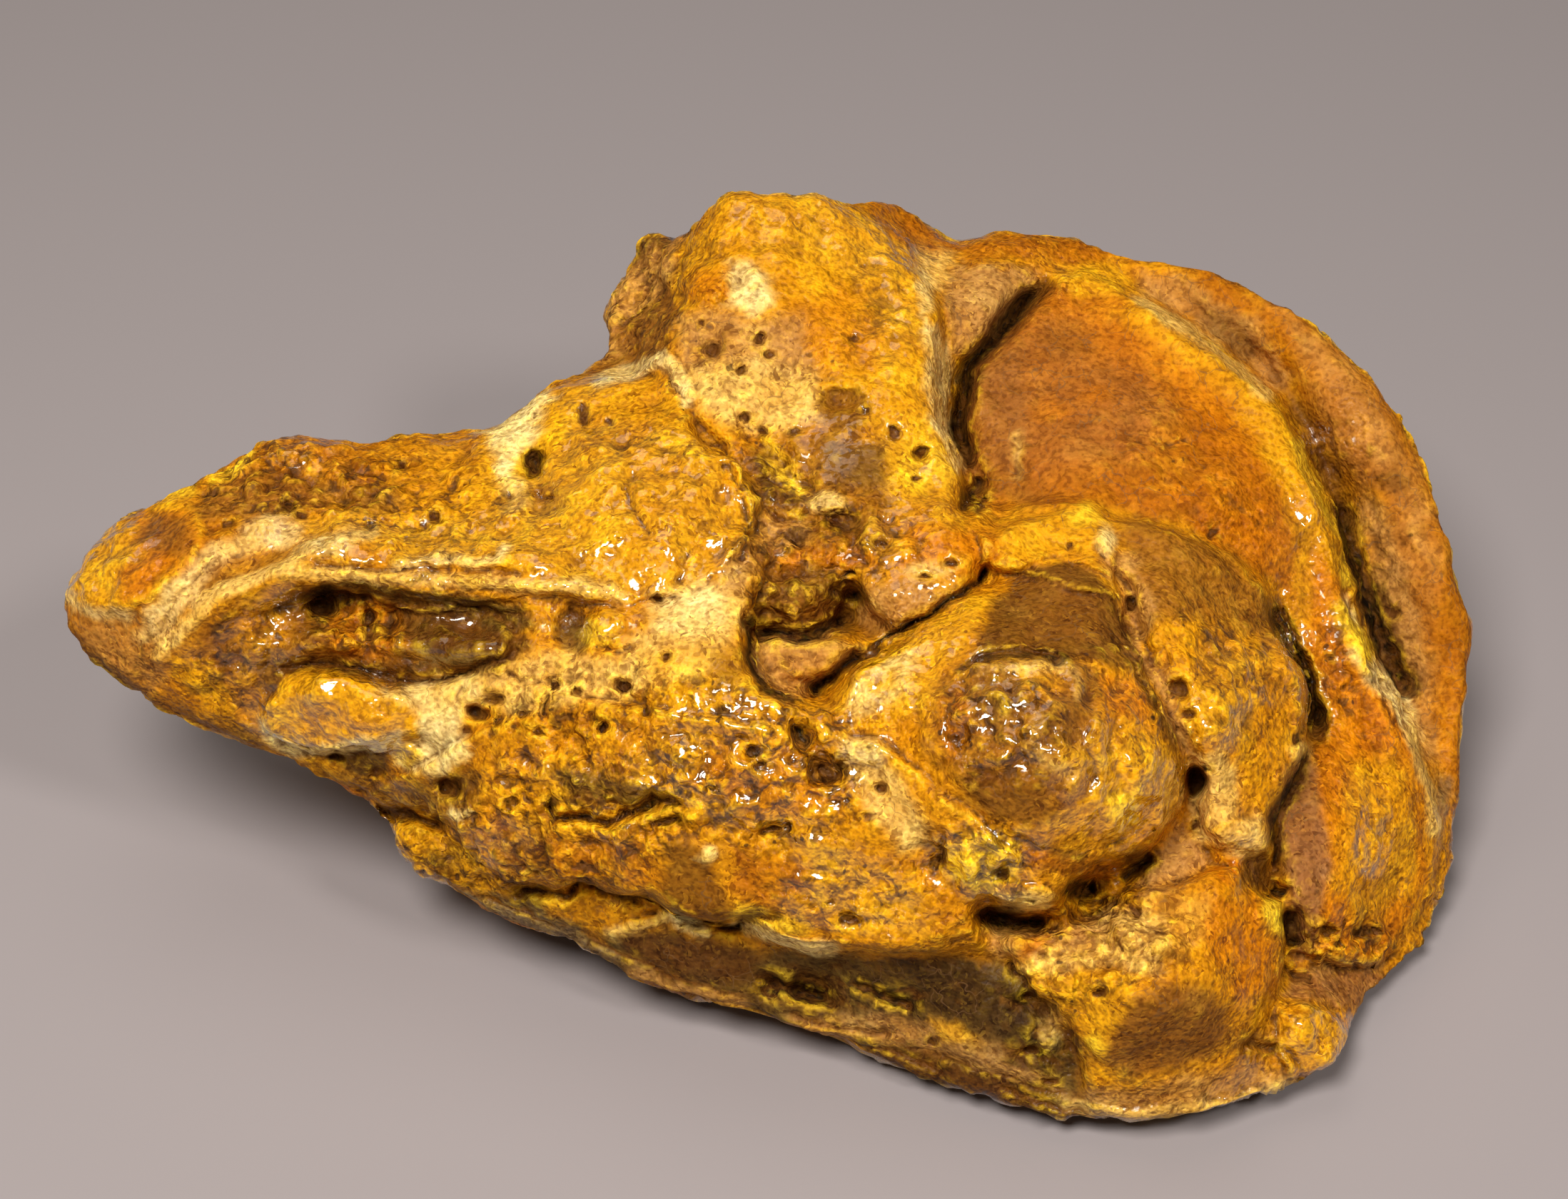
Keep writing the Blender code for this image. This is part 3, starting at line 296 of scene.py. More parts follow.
STEPS = [
    # crisp broken edges, the higher side on the left of each path
    Step([(-8, 1.5), (-6.5, 2), (-5, 2.5), (-4, 4), (-3.2, 5), (-2.4, 6), (-2.3, 7), (-2.2, 8.2), (-2.6, 9.3),
         (-3, 10.5), (-4.2, 12), (-6.7, 13), (-7.5, 14), (-8.2, 15), (-8, 16.2), (-9, 17.2), (-10, 18.5)],
         0.7, 1.0),
    Step([(28, 6.6), (26.8, 7.6), (24.3, 7.8), (22, 7), (20, 6.5), (18, 5.2)], 0.4, 0.8),
    Step([(41.2, 0), (40.3, 1.5), (39, 2.8), (37.5, 4), (35, 5), (33, 5.9), (30.5, 6.7), (28, 6.6)], 0.5,
         0.9),
    Step([(41.5, -33), (42.4, -31), (42.6, -28), (42.2, -25.8), (40, -25.2)], 0.5, 0.8),
    Step([(45.4, -40.6), (47.2, -39), (47.7, -37), (46.5, -35.2), (44, -34.3), (42, -34.7)], 0.4, 0.8),
    Step([(19, 1.2), (16.5, 0.5), (14, -0.5), (12, -1.9), (9, -3.7), (6, -5.7), (4.6, -8), (4.3, -11)], 0.9,
         1.8),
    Step([(15.4, -25.2), (18, -25.9), (20.5, -26.8), (23, -26), (24.4, -23.6), (28, -22), (31.5, -20.7),
         (33.2, -18), (33.8, -15), (33, -11), (31, -7)], 0.8, 1.6),
    Step([(29, -3), (28.4, -0.4), (27, 2), (25.4, 3.2), (22.8, 3), (20, 1.7)], -0.5, 1.2),
    Step([(16, 27.8), (19.4, 28), (21.6, 27)], 0.3, 0.8),
    Step([(44, -30.6), (47, -31.2), (50, -30.8), (53, -29.4)], 0.6, 0.8),
    Step([(19.4, -31.4), (22, -34), (24.4, -36.6), (25.2, -39.6)], 0.5, 0.9),
]

# The outlines of the plates, lobes and blocks whose broken edges stand proud of what is round them.
EDGES = [
    Edge([(16, 8), (15.2, 13), (15.6, 19.5), (18.3, 22.5), (20.3, 25.3), (23, 27.6), (25.5, 27.8), (28, 27),
         (30, 25.4), (33.5, 23.3), (37, 20.3), (41, 17.5), (43.2, 14), (44.4, 10.2), (46, 7.5), (47.4, 5),
         (47.8, 2), (48.7, -2.5), (50.5, -6), (52.3, -9), (53.8, -13), (55, -16), (55.6, -20), (54.8, -25),
         (52.5, -29), (50, -30.7), (47, -31), (44, -30.2), (36, -20), (28, 0), (17, 3)], 0.9, 2.0),
    Edge([(-9.5, 17.5), (-12, 20.2), (-8.6, 25.4), (-9.2, 28), (-7.8, 31), (-6.2, 32.8), (-4.4, 34.3), (-1,
         35), (4, 34), (6.8, 32.6), (8.6, 30.7), (10.6, 28.5), (12.4, 26.5), (13.3, 24.7), (12.6, 22.3), (13,
         18), (13.5, 14.3), (15, 11.5), (15.6, 8.4), (17.4, 6.4), (17.4, 3.4), (15, 0.2), (12, -1.4), (9.4,
         -2.6), (7.4, -0.6), (6.4, 1.6), (3, 2.2), (-1, 2.4), (-3, 8), (-5, 13)], 0.7, 2.0),
    Edge([(-28, 1.5), (-28, 8), (-26.5, 13.6), (-22.5, 15.9), (-20.5, 17.6), (-15, 18.8), (-10, 18.5), (-9,
         17.2), (-8, 16.2), (-8.2, 15), (-6.7, 13), (-4.2, 12), (-3, 10.4), (-2.2, 8.2), (-2.4, 6), (-4, 4),
         (-6.5, 2), (-8, 0.6), (-14, -0.4), (-20, 0.4)], 0.7, 1.6),
    Edge([(28, 6.6), (30.5, 6.7), (33, 5.9), (35, 5), (37.5, 4), (39, 2.8), (40.3, 1.5), (41.2, 0), (42,
         -2.5), (43.2, -4.5), (44, -6), (44.2, -8), (43.8, -11), (44.5, -12.5), (43.3, -14.8), (42, -17), (41,
         -19), (41, -21.3), (38.5, -22), (36, -20.6), (35.4, -18), (35.8, -14), (34.2, -11), (32.2, -7),
         (30.4, -3), (29.6, 1), (27, 4)], 0.9, 1.6),
    Edge([(17, 4.8), (20, 6.5), (24.3, 7.8), (26, 7.6), (27.4, 5.8), (28.2, 4.2), (28, 1.5), (23, 3.8), (19,
         2.2), (17.4, 2.6)], 0.6, 1.2),
    Edge([(33, -24.3), (36.5, -23), (38.5, -22.4), (39.5, -24.6), (42.3, -25.7), (42.7, -28), (42.5, -31),
         (41.5, -33), (40.8, -34.5), (41.5, -37), (43, -39), (44, -42), (39, -44), (31, -45), (26, -43.4),
         (25.2, -39), (23.5, -36), (21, -33.5), (19.4, -31), (18.4, -29), (20, -27.8), (23, -28.2), (27,
         -26.5), (30, -25)], 0.8, 1.6),
    Edge([(42, -34.8), (44, -34.2), (46.5, -35.1), (48.2, -37), (47.6, -39), (45.4, -41), (42.8, -40.4),
         (41.8, -37.5)], 0.7, 1.2),
    Edge([(-44.2, -10), (-43.4, -8.2), (-41.6, -6.5), (-38.5, -6.2), (-36, -6.6), (-34, -7.7), (-31.3, -8.6),
         (-30.6, -10), (-31, -11.9), (-34, -11.8), (-38, -12.8), (-41, -13), (-43.6, -11.9)], 0.7, 1.2),
    Edge([(-61.5, 3.6), (-59.5, 6), (-57, 8), (-50.4, 8.6), (-49, 6), (-50, 3.6), (-53, 0.4), (-55, -1), (-58,
         -0.9), (-61, 0)], 0.4, 1.0),
    Edge([(-36.5, -17.2), (-31, -17.6), (-25, -21), (-24, -24.5), (-19, -24.7), (-16.6, -23.9), (-14, -25.4),
         (-12, -24.7), (-10.5, -25.2), (-9, -26.6), (-6, -27.3), (-3.4, -27), (-1, -28.4), (2, -29.6), (5,
         -29.8), (10, -29.6), (13.5, -29.2), (17, -28), (20, -27.4), (20, -22), (8, -12), (-20, -8)], 0.7,
         1.6),
    Edge([(-2.6, -3.4), (0, -3.1), (4, -3.2), (7, -4.2), (5, -6), (1, -8), (-1.4, -7)], 0.5, 1.0),
    Edge([(14, 21), (13.6, 26), (16, 29), (20.6, 28), (21.8, 26.8), (18, 22.8), (16, 20.8)], 0.5, 1.0),
    Edge([(-15.6, 20.4), (-15, 26), (-12.6, 30.6), (-9, 31), (-9.4, 26), (-12, 21.4)], 0.5, 1.2),
]

PITS = [
    Pit(-47, 6.3, 0.6, 0.5, 1.0), Pit(-42, 8, 0.55, 0.45, 0.9), Pit(-40.9, 7.3, 0.45, 0.4, 0.7),
    Pit(-35, 6.3, 0.55, 0.45, 1.0), Pit(-32.4, 11.4, 0.5, 0.45, 0.9), Pit(-30.5, 6.5, 0.4, 0.35, 0.7),
    Pit(-29.5, 6.9, 0.6, 0.5, 1.0), Pit(-39.3, -0.6, 1.2, 0.8, 1.8), Pit(-35.3, -1.5, 0.5, 0.5, 1.2),
    Pit(-35.2, -2.6, 0.45, 0.4, 1.0), Pit(-36.2, -3.3, 0.4, 0.3, 0.8), Pit(-31.9, 5.2, 0.35, 0.3, 0.6),
    Pit(-38, -13.5, 0.7, 0.5, 1.0), Pit(-34.5, -14.7, 0.6, 0.5, 1.0), Pit(-28.5, -16, 0.95, 0.75, 1.6),
    Pit(-21.3, 11.7, 0.6, 1.0, 1.6), Pit(-20, 8, 1.5, 0.8, 0.8), Pit(-23.3, 8.9, 0.4, 0.4, 0.6),
    Pit(-17, 15.7, 0.45, 0.9, 1.0), Pit(-14.8, 15, 0.45, 0.4, 0.7), Pit(-4.8, 11.2, 0.5, 0.4, 0.5),
    Pit(-5.3, 8.8, 0.8, 0.6, 0.5), Pit(-6.4, 6, 1.0, 0.7, 0.5), Pit(-18, -2.6, 1.5, 1.7, 0.8),
    Pit(-17.2, -1, 1.2, 0.7, 0.5), Pit(-10.7, 0, 0.5, 0.45, 1.2), Pit(-10, -5, 0.4, 0.4, 0.9),
    Pit(-13.8, -7.3, 0.7, 0.55, 1.4), Pit(-19.5, -7.3, 0.5, 0.45, 1.1), Pit(-17.5, -7.8, 0.4, 0.35, 0.8),
    Pit(-26, -9.6, 0.95, 0.75, 2.2), Pit(-24.6, -8.4, 0.9, 0.5, 0.7), Pit(-11.8, -9.5, 0.55, 0.5, 1.1),
    Pit(-15.3, -10.7, 0.65, 0.5, 1.6), Pit(-27, -11.2, 0.45, 0.45, 0.6), Pit(-24.9, -11.4, 0.35, 0.5, 0.6),
    Pit(-20.8, -11.3, 0.45, 0.35, 0.9), Pit(-24.4, -10.4, 0.4, 0.5, 0.6), Pit(-22.4, -9.8, 0.5, 0.35, 0.7),
    Pit(-23.2, -17.2, 0.6, 0.5, 0.8), Pit(-19.4, -17.2, 0.5, 0.6, 1.0), Pit(-6, -15.8, 0.5, 0.4, 0.8),
    Pit(-2.2, -12.8, 1.1, 0.6, 1.0), Pit(-2, -14, 0.5, 0.4, 0.8), Pit(-3, -16.6, 0.6, 0.4, 0.7),
    Pit(3.4, -14.4, 1.5, 1.3, 1.3), Pit(4.8, -14, 0.5, 0.5, 0.8), Pit(8.3, -16, 0.6, 0.5, 1.1),
    Pit(5.4, -16.9, 0.45, 0.35, 0.8), Pit(7.2, -18.4, 0.5, 0.4, 0.6), Pit(4.2, -25.7, 0.5, 0.35, 0.7),
    Pit(5.6, -27.2, 0.9, 0.4, 0.8), Pit(18.5, -23.3, 0.75, 0.5, 1.3), Pit(33.5, -7.6, 0.7, 0.8, 1.2),
    Pit(34.2, -9.7, 0.6, 0.45, 0.9), Pit(34.9, -15.4, 0.7, 1.2, 2.8), Pit(34.8, -19.2, 0.5, 0.45, 1.0),
    Pit(35.9, -14.3, 0.4, 0.3, 0.5), Pit(29.3, -0.4, 0.5, 0.7, 1.8), Pit(24.3, 4.4, 0.4, 0.4, 0.8),
    Pit(36.4, 5.8, 0.45, 0.4, 0.6), Pit(43.5, -11.8, 0.4, 0.6, 0.7), Pit(46.1, -28.2, 0.8, 0.4, 1.0),
    Pit(49.5, -28.2, 1.1, 0.5, 1.1), Pit(47.2, -29.4, 0.5, 0.35, 0.8), Pit(46.2, -5.1, 0.4, 0.25, 0.7),
    Pit(51.5, -1, 0.6, 0.5, 0.8), Pit(-6.2, 21.4, 0.7, 0.6, 1.1), Pit(-2.1, 22.1, 0.5, 0.45, 0.9),
    Pit(-1.2, 20.8, 0.45, 0.35, 0.8), Pit(-3.5, 19.5, 0.55, 0.4, 0.9), Pit(-7, 23.6, 0.35, 0.3, 0.6),
    Pit(-3.3, 15.5, 0.5, 0.4, 0.9), Pit(-1.9, 14.3, 0.5, 0.45, 0.9), Pit(1, 14.3, 0.7, 0.3, 0.7),
    Pit(6, 22.3, 0.4, 0.35, 0.6), Pit(7, 15.9, 0.35, 0.3, 0.6), Pit(9.4, 14.3, 0.55, 0.45, 0.9),
    Pit(11.5, 12.4, 0.85, 0.5, 1.3), Pit(11.3, 10.3, 0.5, 0.35, 0.8), Pit(5, 17, 1.6, 0.9, 0.7),
    Pit(-1.5, 10, 0.9, 0.6, 0.8), Pit(5, 6.7, 1.2, 0.8, 0.9), Pit(8.4, 4.6, 0.6, 0.5, 0.8),
    Pit(14.2, 3, 0.5, 0.3, 0.8), Pit(12, 1.9, 0.5, 0.25, 1.0), Pit(5.2, 1.9, 0.5, 0.3, 1.2),
    Pit(6.2, 0.3, 0.4, 0.4, 1.0), Pit(2.2, -33, 1.7, 1.1, 1.6), Pit(-1, -33, 0.9, 0.7, 1.2),
    Pit(9.6, -33.6, 2.2, 0.7, 0.8), Pit(20.8, -38, 0.9, 0.5, 1.3), Pit(26.8, -33.2, 0.7, 0.5, 0.8),
    Pit(20.9, -33.6, 0.6, 0.4, 1.2), Pit(15.5, -15.5, 0.4, 0.3, 0.4), Pit(15.4, -28.6, 1.6, 1.2, 0.8),
    Pit(22.6, -40.8, 0.6, 0.35, 0.9), Pit(12.7, -37.4, 0.5, 0.35, 0.8),
]

NUBS = [
    # raised beads and small blocks
    Nub(-15, -2, 1.3, 1.1, 0.8), Nub(-31.5, -13.2, 0.9, 0.7, 0.5), Nub(-33.6, -3.4, 1.4, 1.2, 1.0),
    Nub(-38.6, -3.4, 3.0, 1.0, 0.7), Nub(-6.5, 27, 1.9, 1.8, 0.9), Nub(-6.3, -21.6, 0.7, 0.6, 0.6),
    Nub(27.2, 5, 0.7, 1.0, 0.6), Nub(3.8, 8.2, 1.4, 1.0, 0.7), Nub(43.9, -13, 0.9, 0.8, 0.7),
    Nub(0.6, 0.2, 2.4, 1.6, 1.2), Nub(3.6, 0.8, 1.8, 1.4, 1.0), Nub(22, -15.6, 0.8, 0.6, 0.3),
    Nub(15, -9, 1.3, 1.2, 0.5), Nub(24.6, -10.8, 2.4, 2.8, 0.7), Nub(1.8, -4.9, 3.2, 1.9, 1.3),
    Nub(0.2, -6.8, 1.4, 1.4, 0.8), Nub(29.4, -9, 1.6, 1.8, 0.5), Nub(30.6, -14.4, 1.8, 2.4, 0.6),
    Nub(18.4, -12.6, 1.8, 1.4, 0.4), Nub(28.4, -18, 2.0, 1.2, 0.5), Nub(7, -12.8, 1.6, 0.9, 0.6),
    Nub(-49.2, -6.4, 1.6, 1.2, 0.5), Nub(-25, -4.4, 1.4, 1.0, 0.5), Nub(17, -21.6, 2.6, 1.8, 0.7),
    Nub(9.4, -19.4, 2.4, 1.8, 0.5), Nub(29.4, -28, 1.6, 1.2, 0.6), Nub(32, -29.4, 1.2, 1.0, 0.5),
    Nub(30, -31.2, 1.2, 0.8, 0.5), Nub(21.6, -33.2, 1.0, 0.7, 0.5), Nub(41, -27, 1.0, 1.4, 0.4),
    Nub(18.4, -28.8, 2.4, 1.4, 0.9), Nub(-13, -16, 1.6, 0.9, 0.5), Nub(-17, -15.8, 1.6, 0.9, 0.5),
    Nub(-15.6, 12.2, 1.8, 1.4, 0.4), Nub(-15.4, 5.6, 2.0, 1.4, 0.4),
]

# -------------------------------------------------------------------------------- the front's colours

WASHES = [
    # the snout: its tip, the cream band behind it, the brown top and the golden flank
    Wash("amber", [(-62, -6), (-62, 6), (-52, 10), (-41, 15), (-34, 14), (-34, 8), (-46, 6), (-52, -2), (-50,
         -12)], 1.4, 0.6),
    Wash("tan", [(-61, -1.4), (-57, -1.6), (-54, -3.4), (-52, -5.4), (-54, -8.4), (-59, -5)], 0.9, 0.55),
    Wash("gold", [(-61.4, 0.6), (-60.8, 4.6), (-58.6, 7), (-55, 8.5), (-52, 9), (-49.4, 7.6), (-49, 6.4),
         (-50.6, 3.4), (-53, 0.4), (-55.2, -0.9), (-58, -0.7), (-60.6, -0.2)], 0.4, 0.95),
    Wash("orange", [(-55.4, 8), (-50, 7.8), (-49.4, 6), (-51, 3.2), (-53.4, 0.6), (-56, 0), (-56.4, 2.4),
         (-54.6, 3.6)], 0.7, 0.9),
    Wash("brown", [(-54.8, 5.6), (-53.6, 7.6), (-51, 7.4), (-50, 6), (-50.8, 4), (-53.4, 3.6)], 0.7, 0.85),
    Wash("pale", [(-54.8, -2.6), (-53.6, -0.4), (-52, 0.9), (-50.6, 2.7), (-49, 4.7), (-46.6, 5.5), (-44,
         7.1), (-42, 7.3), (-40.4, 6.3), (-41, 5.2), (-44, 4.5), (-46, 3.3), (-47.6, 2.7), (-49, 1.5), (-50.2,
         -0.4), (-51.6, -2), (-53, -3.8), (-55, -4)], 0.5, 0.6),
    Wash("brown", [(-50, 8), (-48, 10), (-45, 11.2), (-40, 10.6), (-36, 9.6), (-32.6, 8.8), (-33.6, 7), (-40,
         8), (-44, 6.9), (-47, 6.8), (-49.2, 7.2)], 0.8, 0.8),
    Wash("honey", [(-34, 13.6), (-26, 14.4), (-25, 11), (-27, 9), (-33, 10)], 1.0, 0.8),
    Wash("gold", [(-40, 7.2), (-35, 7.6), (-30, 7.6), (-25.6, 8.6), (-22, 6), (-18, 2), (-24, 3), (-29, 3.4),
         (-33, 2.8), (-36, 5.4), (-40, 5)], 0.8, 0.85),
    Wash("brown", [(-50, 1.6), (-47, 3), (-43, 4.4), (-41, 4.6), (-43, 3.2), (-46, 2.2), (-49, -0.4)], 0.5,
         0.7),
    # the slot in the snout
    Wash("brown", [(-50, -3.4), (-47, -0.4), (-43, 1), (-38, 1.6), (-33, 0.6), (-27, -1), (-22, -3.6), (-24,
         -5.6), (-31, -7.4), (-38, -6.2), (-44, -7), (-46, -9.6), (-48.6, -6.4)], 0.7, 0.9),
    Wash("honey", [(-46.4, -0.6), (-43.6, 0.2), (-41.4, -1.4), (-42.4, -4), (-45.4, -4.6), (-47.4, -2.6)],
         0.7, 0.7),
    Wash("orange", [(-38.6, -1), (-35, -0.2), (-32, -1), (-31.6, -3.6), (-34, -4.8), (-38, -4.6)], 0.7, 0.75),
    Wash("umber", [(-32.6, -0.2), (-29, -0.4), (-26, -1.4), (-23.4, -2.8), (-21.4, -4), (-23, -5.4), (-28,
         -5.6), (-31, -4.6), (-32.6, -2.4)], 0.3, 0.95),
    # painted shade in the slot under the rope-like crest
    Wash("olive", [(-40, 1.2), (-36, 1.4), (-32.6, 1.2), (-29, 0.8), (-25, 0.2), (-21.6, -1.4), (-20.8, -3),
         (-23, -3.2), (-27, -1.4), (-31, -0.1), (-36, 0.6)], 0.4, 0.9),
    Wash("umber", [(-45, -5.4), (-42, -4.8), (-38, -5.1), (-34, -5.3), (-30, -5.3), (-26, -5.2), (-23, -4.9),
         (-24.4, -5.8), (-28, -6.8), (-31, -7.3), (-34, -6.9), (-38, -6.1), (-42, -6.6), (-44.2, -8)], 0.4,
         0.85),
    Wash("gold", [(-51.6, -5), (-48.4, -4.8), (-47.2, -6.4), (-47.6, -8.4), (-50, -8.2), (-51.8, -6.6)], 0.5,
         0.85),
    Wash("honey", [(-46.8, -6), (-45, -6), (-44.6, -10), (-46.4, -11), (-48, -9)], 0.7, 0.7),
    # the tongue and the ground round it
    Wash("gold", [(-44.4, -10.2), (-43.4, -8.2), (-41.6, -6.5), (-38.5, -6.2), (-36, -6.6), (-34, -7.8),
         (-31.3, -8.6), (-30.6, -10), (-31, -11.8), (-34, -11.7), (-38, -12.7), (-41, -12.8), (-43.6, -11.8)],
         0.35, 1.0),
    Wash("orange", [(-42, -9.4), (-38, -9), (-34, -10), (-32, -10.8), (-34, -11.4), (-38, -12), (-42, -11.6)],
         0.9, 0.3),
    Wash("pale", [(-34.4, -7.6), (-31, -7.4), (-28, -6.6), (-26.8, -6.3), (-25.4, -7.6), (-26, -8.8), (-27.4,
         -9.4), (-27.2, -11), (-26.6, -13), (-28, -14), (-29.5, -15), (-31.5, -14.8), (-33.4, -12.6), (-31,
         -12), (-30.6, -9.4), (-32.4, -8.5)], 0.35, 1.0),
    # the two olive washes below the tongue: partly olive ground, partly painted shade beneath the raised tongue
    Wash("olive", [(-37.4, -12.8), (-35.4, -12), (-33.4, -12.6), (-33.4, -14.4), (-36, -15), (-37.4, -14.4)],
         0.5, 0.85),
    Wash("olive", [(-41, -14), (-37, -14.6), (-32, -15.4), (-29.6, -15.2), (-27, -14), (-25.6, -15), (-26,
         -18), (-31, -18), (-36, -16.6)], 0.7, 0.6),
    Wash("brown", [(-31, -17.6), (-26.6, -17.6), (-25, -20.6), (-28, -20.4)], 0.6, 0.7),
    Wash("gold", [(-34.4, -19.2), (-30, -19.6), (-26.6, -21.4), (-24, -24), (-25.6, -24.8), (-29.4, -23),
         (-33, -21.6)], 0.5, 0.9),
    Wash("umber", [(-30.4, -21.2), (-28.4, -21.4), (-27.4, -23), (-28.6, -23.8), (-30, -22.6)], 0.5, 0.8),
    # the left plate
    Wash("gold", [(-27, 8.6), (-25, 14), (-20, 17.4), (-14, 18.4), (-10, 18), (-8, 14.6), (-4, 11.6), (-2.6,
         8), (-3, 5.6), (-7, 1.6), (-14, 0.4), (-22, 2)], 0.8, 0.9),
    Wash("honey", [(-18, 16), (-10, 17.4), (-8.6, 15), (-12, 12.6), (-18, 13)], 1.2, 0.6),
    Wash("honey", [(-12, 11), (-7, 12), (-4, 9.6), (-5, 5), (-9, 2), (-12, 5)], 1.2, 0.5),
    Wash("pale", [(-26, 14.6), (-24.2, 13), (-24.8, 11), (-23.2, 10), (-22.4, 12.4), (-21.4, 13.6), (-20.4,
         15.4), (-19.2, 17), (-20.4, 18.2), (-22.6, 16.8), (-24.4, 15.4)], 0.45, 1.0),
    Wash("cream", [(-24.4, 10.6), (-22.4, 10.6), (-21.4, 8.4), (-23.4, 7.6)], 0.6, 0.7),
    Wash("brown", [(-19.4, 18.6), (-15.6, 20.8), (-12, 23.4), (-11.4, 20.2), (-15, 18.9)], 0.6, 0.85),
    # the porous ground under it
    Wash("cream", [(-30, -7.4), (-27, -6.2), (-23, -5.6), (-20.6, -4.4), (-14, -5), (-10, -1), (-6, 1.6),
         (-3.2, 3), (-3.4, -2), (-6, -6), (-12, -8), (-18, -9), (-25, -9.6), (-29, -9)], 0.7, 0.75),
    Wash("pale", [(-11, 0.6), (-7, 1.8), (-5, 0.6), (-5.4, -2), (-8, -3.4), (-11, -2)], 0.9, 0.7),
    Wash("honey", [(-25, -9.6), (-12, -9), (-10, -12), (-13, -14.6), (-25, -14.6)], 1.2, 0.8),
    Wash("gold", [(-12, -4.6), (-5, -4), (-3, -7), (-5, -10), (-11, -9.6)], 1.1, 0.65),
    Wash("olive", [(-7, -4), (-3.4, -4.4), (-3, -7), (-6, -8)], 0.9, 0.45),
    Wash("olive", [(-19.4, -1), (-17.4, -0.4), (-16.4, -2), (-16.6, -4.4), (-18.4, -4.6), (-19.6, -3)], 0.4,
         0.9),
    Wash("honey", [(-19.8, 0), (-17.6, 0.4), (-15, 0.6), (-12.8, -1.4), (-13.4, -4), (-15.8, -4.4), (-16,
         -1.6), (-18, -0.6)], 0.5, 0.7),
    Wash("tan", [(-6, 1.4), (-3.6, 5), (-1.6, 5.4), (0, 3), (-2.6, 1.6), (-4, 0)], 0.7, 0.6),
    # the crumbling mass along the front
    Wash("gold", [(-25, -15), (-14, -14), (-4, -10), (4, -11), (6, -15), (4, -22), (-2, -20), (-10, -19.6),
         (-18, -19.6), (-25, -19)], 1.6, 0.5),
    Wash("orange", [(-6, -12), (2, -11), (5, -14), (4, -17.6), (-2, -18), (-8, -16)], 1.2, 0.6),
    # partly olive ground, partly painted shade in its hollows above the crack
    Wash("olive", [(-19.4, -14.6), (-15, -14.4), (-12, -15.6), (-8.8, -16.2), (-9.4, -17.4), (-13, -17.6),
         (-18, -17.6)], 0.6, 0.8),
    Wash("brown", [(-25, -20), (-19.6, -19.8), (-19, -22), (-20, -24), (-24.4, -24)], 0.8, 0.65),
    Wash("amber", [(-19.6, -20), (-13, -20.6), (-10.6, -22), (-11, -24), (-16, -23.6), (-19.6, -24)], 0.9,
         0.6),
    Wash("umber", [(-10.6, -20.2), (-8, -20.4), (-6.6, -22), (-4.8, -24.4), (-4.2, -27), (-6.4, -27.2), (-9,
         -26.6), (-10.6, -24.8), (-9.8, -22.4)], 0.3, 0.7),
    Wash("amber", [(-3.6, -21.4), (1.6, -22), (2, -24.6), (0, -26.4), (-3.6, -26.6), (-4.2, -24)], 0.6, 0.8),
    Wash("gold", [(2, -21), (8, -22.6), (13, -25.6), (12, -28.6), (3, -28), (0.4, -25.6), (3, -24)], 1.0,
         0.7),
    # the layers under the ledge: partly their own olive, umber and tan, partly painted shade on the faces that
    # turn under
    Wash("olive", [(-33, -22), (-27, -24.8), (-20, -25.2), (-14, -28.2), (-10, -27.8), (-7, -28.4), (-3, -29),
         (2, -30), (18, -30.2), (21, -33), (25.6, -38), (28, -45), (10, -42), (-4, -36), (-20, -29), (-33,
         -23)], 0.6, 0.95),
    Wash("honey", [(-21, -24.8), (-17, -25), (-12.6, -27.6), (-15, -28.6), (-19.6, -27)], 0.5, 0.9),
    Wash("honey", [(-9, -27.4), (-4, -28), (0, -29.4), (-2, -30), (-7, -29)], 0.5, 0.6),
    Wash("ash", [(-30, -24), (-24, -25.4), (-18, -28), (-14, -30.6), (-22, -28.6), (-29, -25.4)], 0.5, 0.6),
    Wash("umber", [(-14, -28.9), (-11.7, -28), (-9.1, -27.8), (-6.5, -28.9), (-3.5, -29.2), (-2.4, -30.4),
         (-3.5, -32.3), (-6.9, -32.6), (-10.3, -32.3), (-12.5, -30.8)], 0.35, 0.85),
    Wash("tan", [(-13, -31.2), (-9, -32.7), (-3.4, -33.4), (-3.2, -34.8), (-9.6, -33.8), (-13.6, -31.8)],
         0.35, 0.85),
    Wash("umber", [(-3, -31.6), (1, -31), (4.6, -32), (5.6, -34.4), (2, -35), (-2, -34)], 0.4, 0.8),
    Wash("dark", [(5.4, -31.8), (8, -32), (12, -33.6), (11.4, -34.8), (8, -34.4), (5.6, -33.4)], 0.4, 0.85),
    Wash("dark", [(9, -30.4), (17, -30.6), (20, -33), (24, -36.4), (25, -39.6), (21, -40), (17, -36.6), (12,
         -34)], 0.6, 0.65),
    Wash("tan", [(0, -35.4), (6, -35.2), (13, -35.6), (16, -37), (20, -39.6), (24, -41.4), (18, -40.6), (11,
         -37.8), (3, -37)], 0.4, 0.85),
    Wash("gold", [(12, -35.4), (15.4, -36), (17, -38), (13.6, -37.4)], 0.4, 0.7),
    Wash("umber", [(7, -38), (12, -37.8), (15, -39.8), (20, -41.2), (25, -43.2), (28.6, -44.6), (20, -44),
         (12, -42), (8, -40)], 0.4, 0.9),
    # the middle: the ground over the hollow, and the hollow with its blocks
    Wash("brown", [(-3, 12.4), (1, 14), (5, 14.6), (9, 13), (9.6, 7), (8, 2.4), (-2, 2.4), (-3, 7)], 1.2,
         0.7),
    Wash("umber", [(-2.8, 12.6), (-1.6, 12), (0.6, 9.4), (1.4, 8), (-1.4, 7.6), (-2.8, 9.6)], 0.5, 0.75),
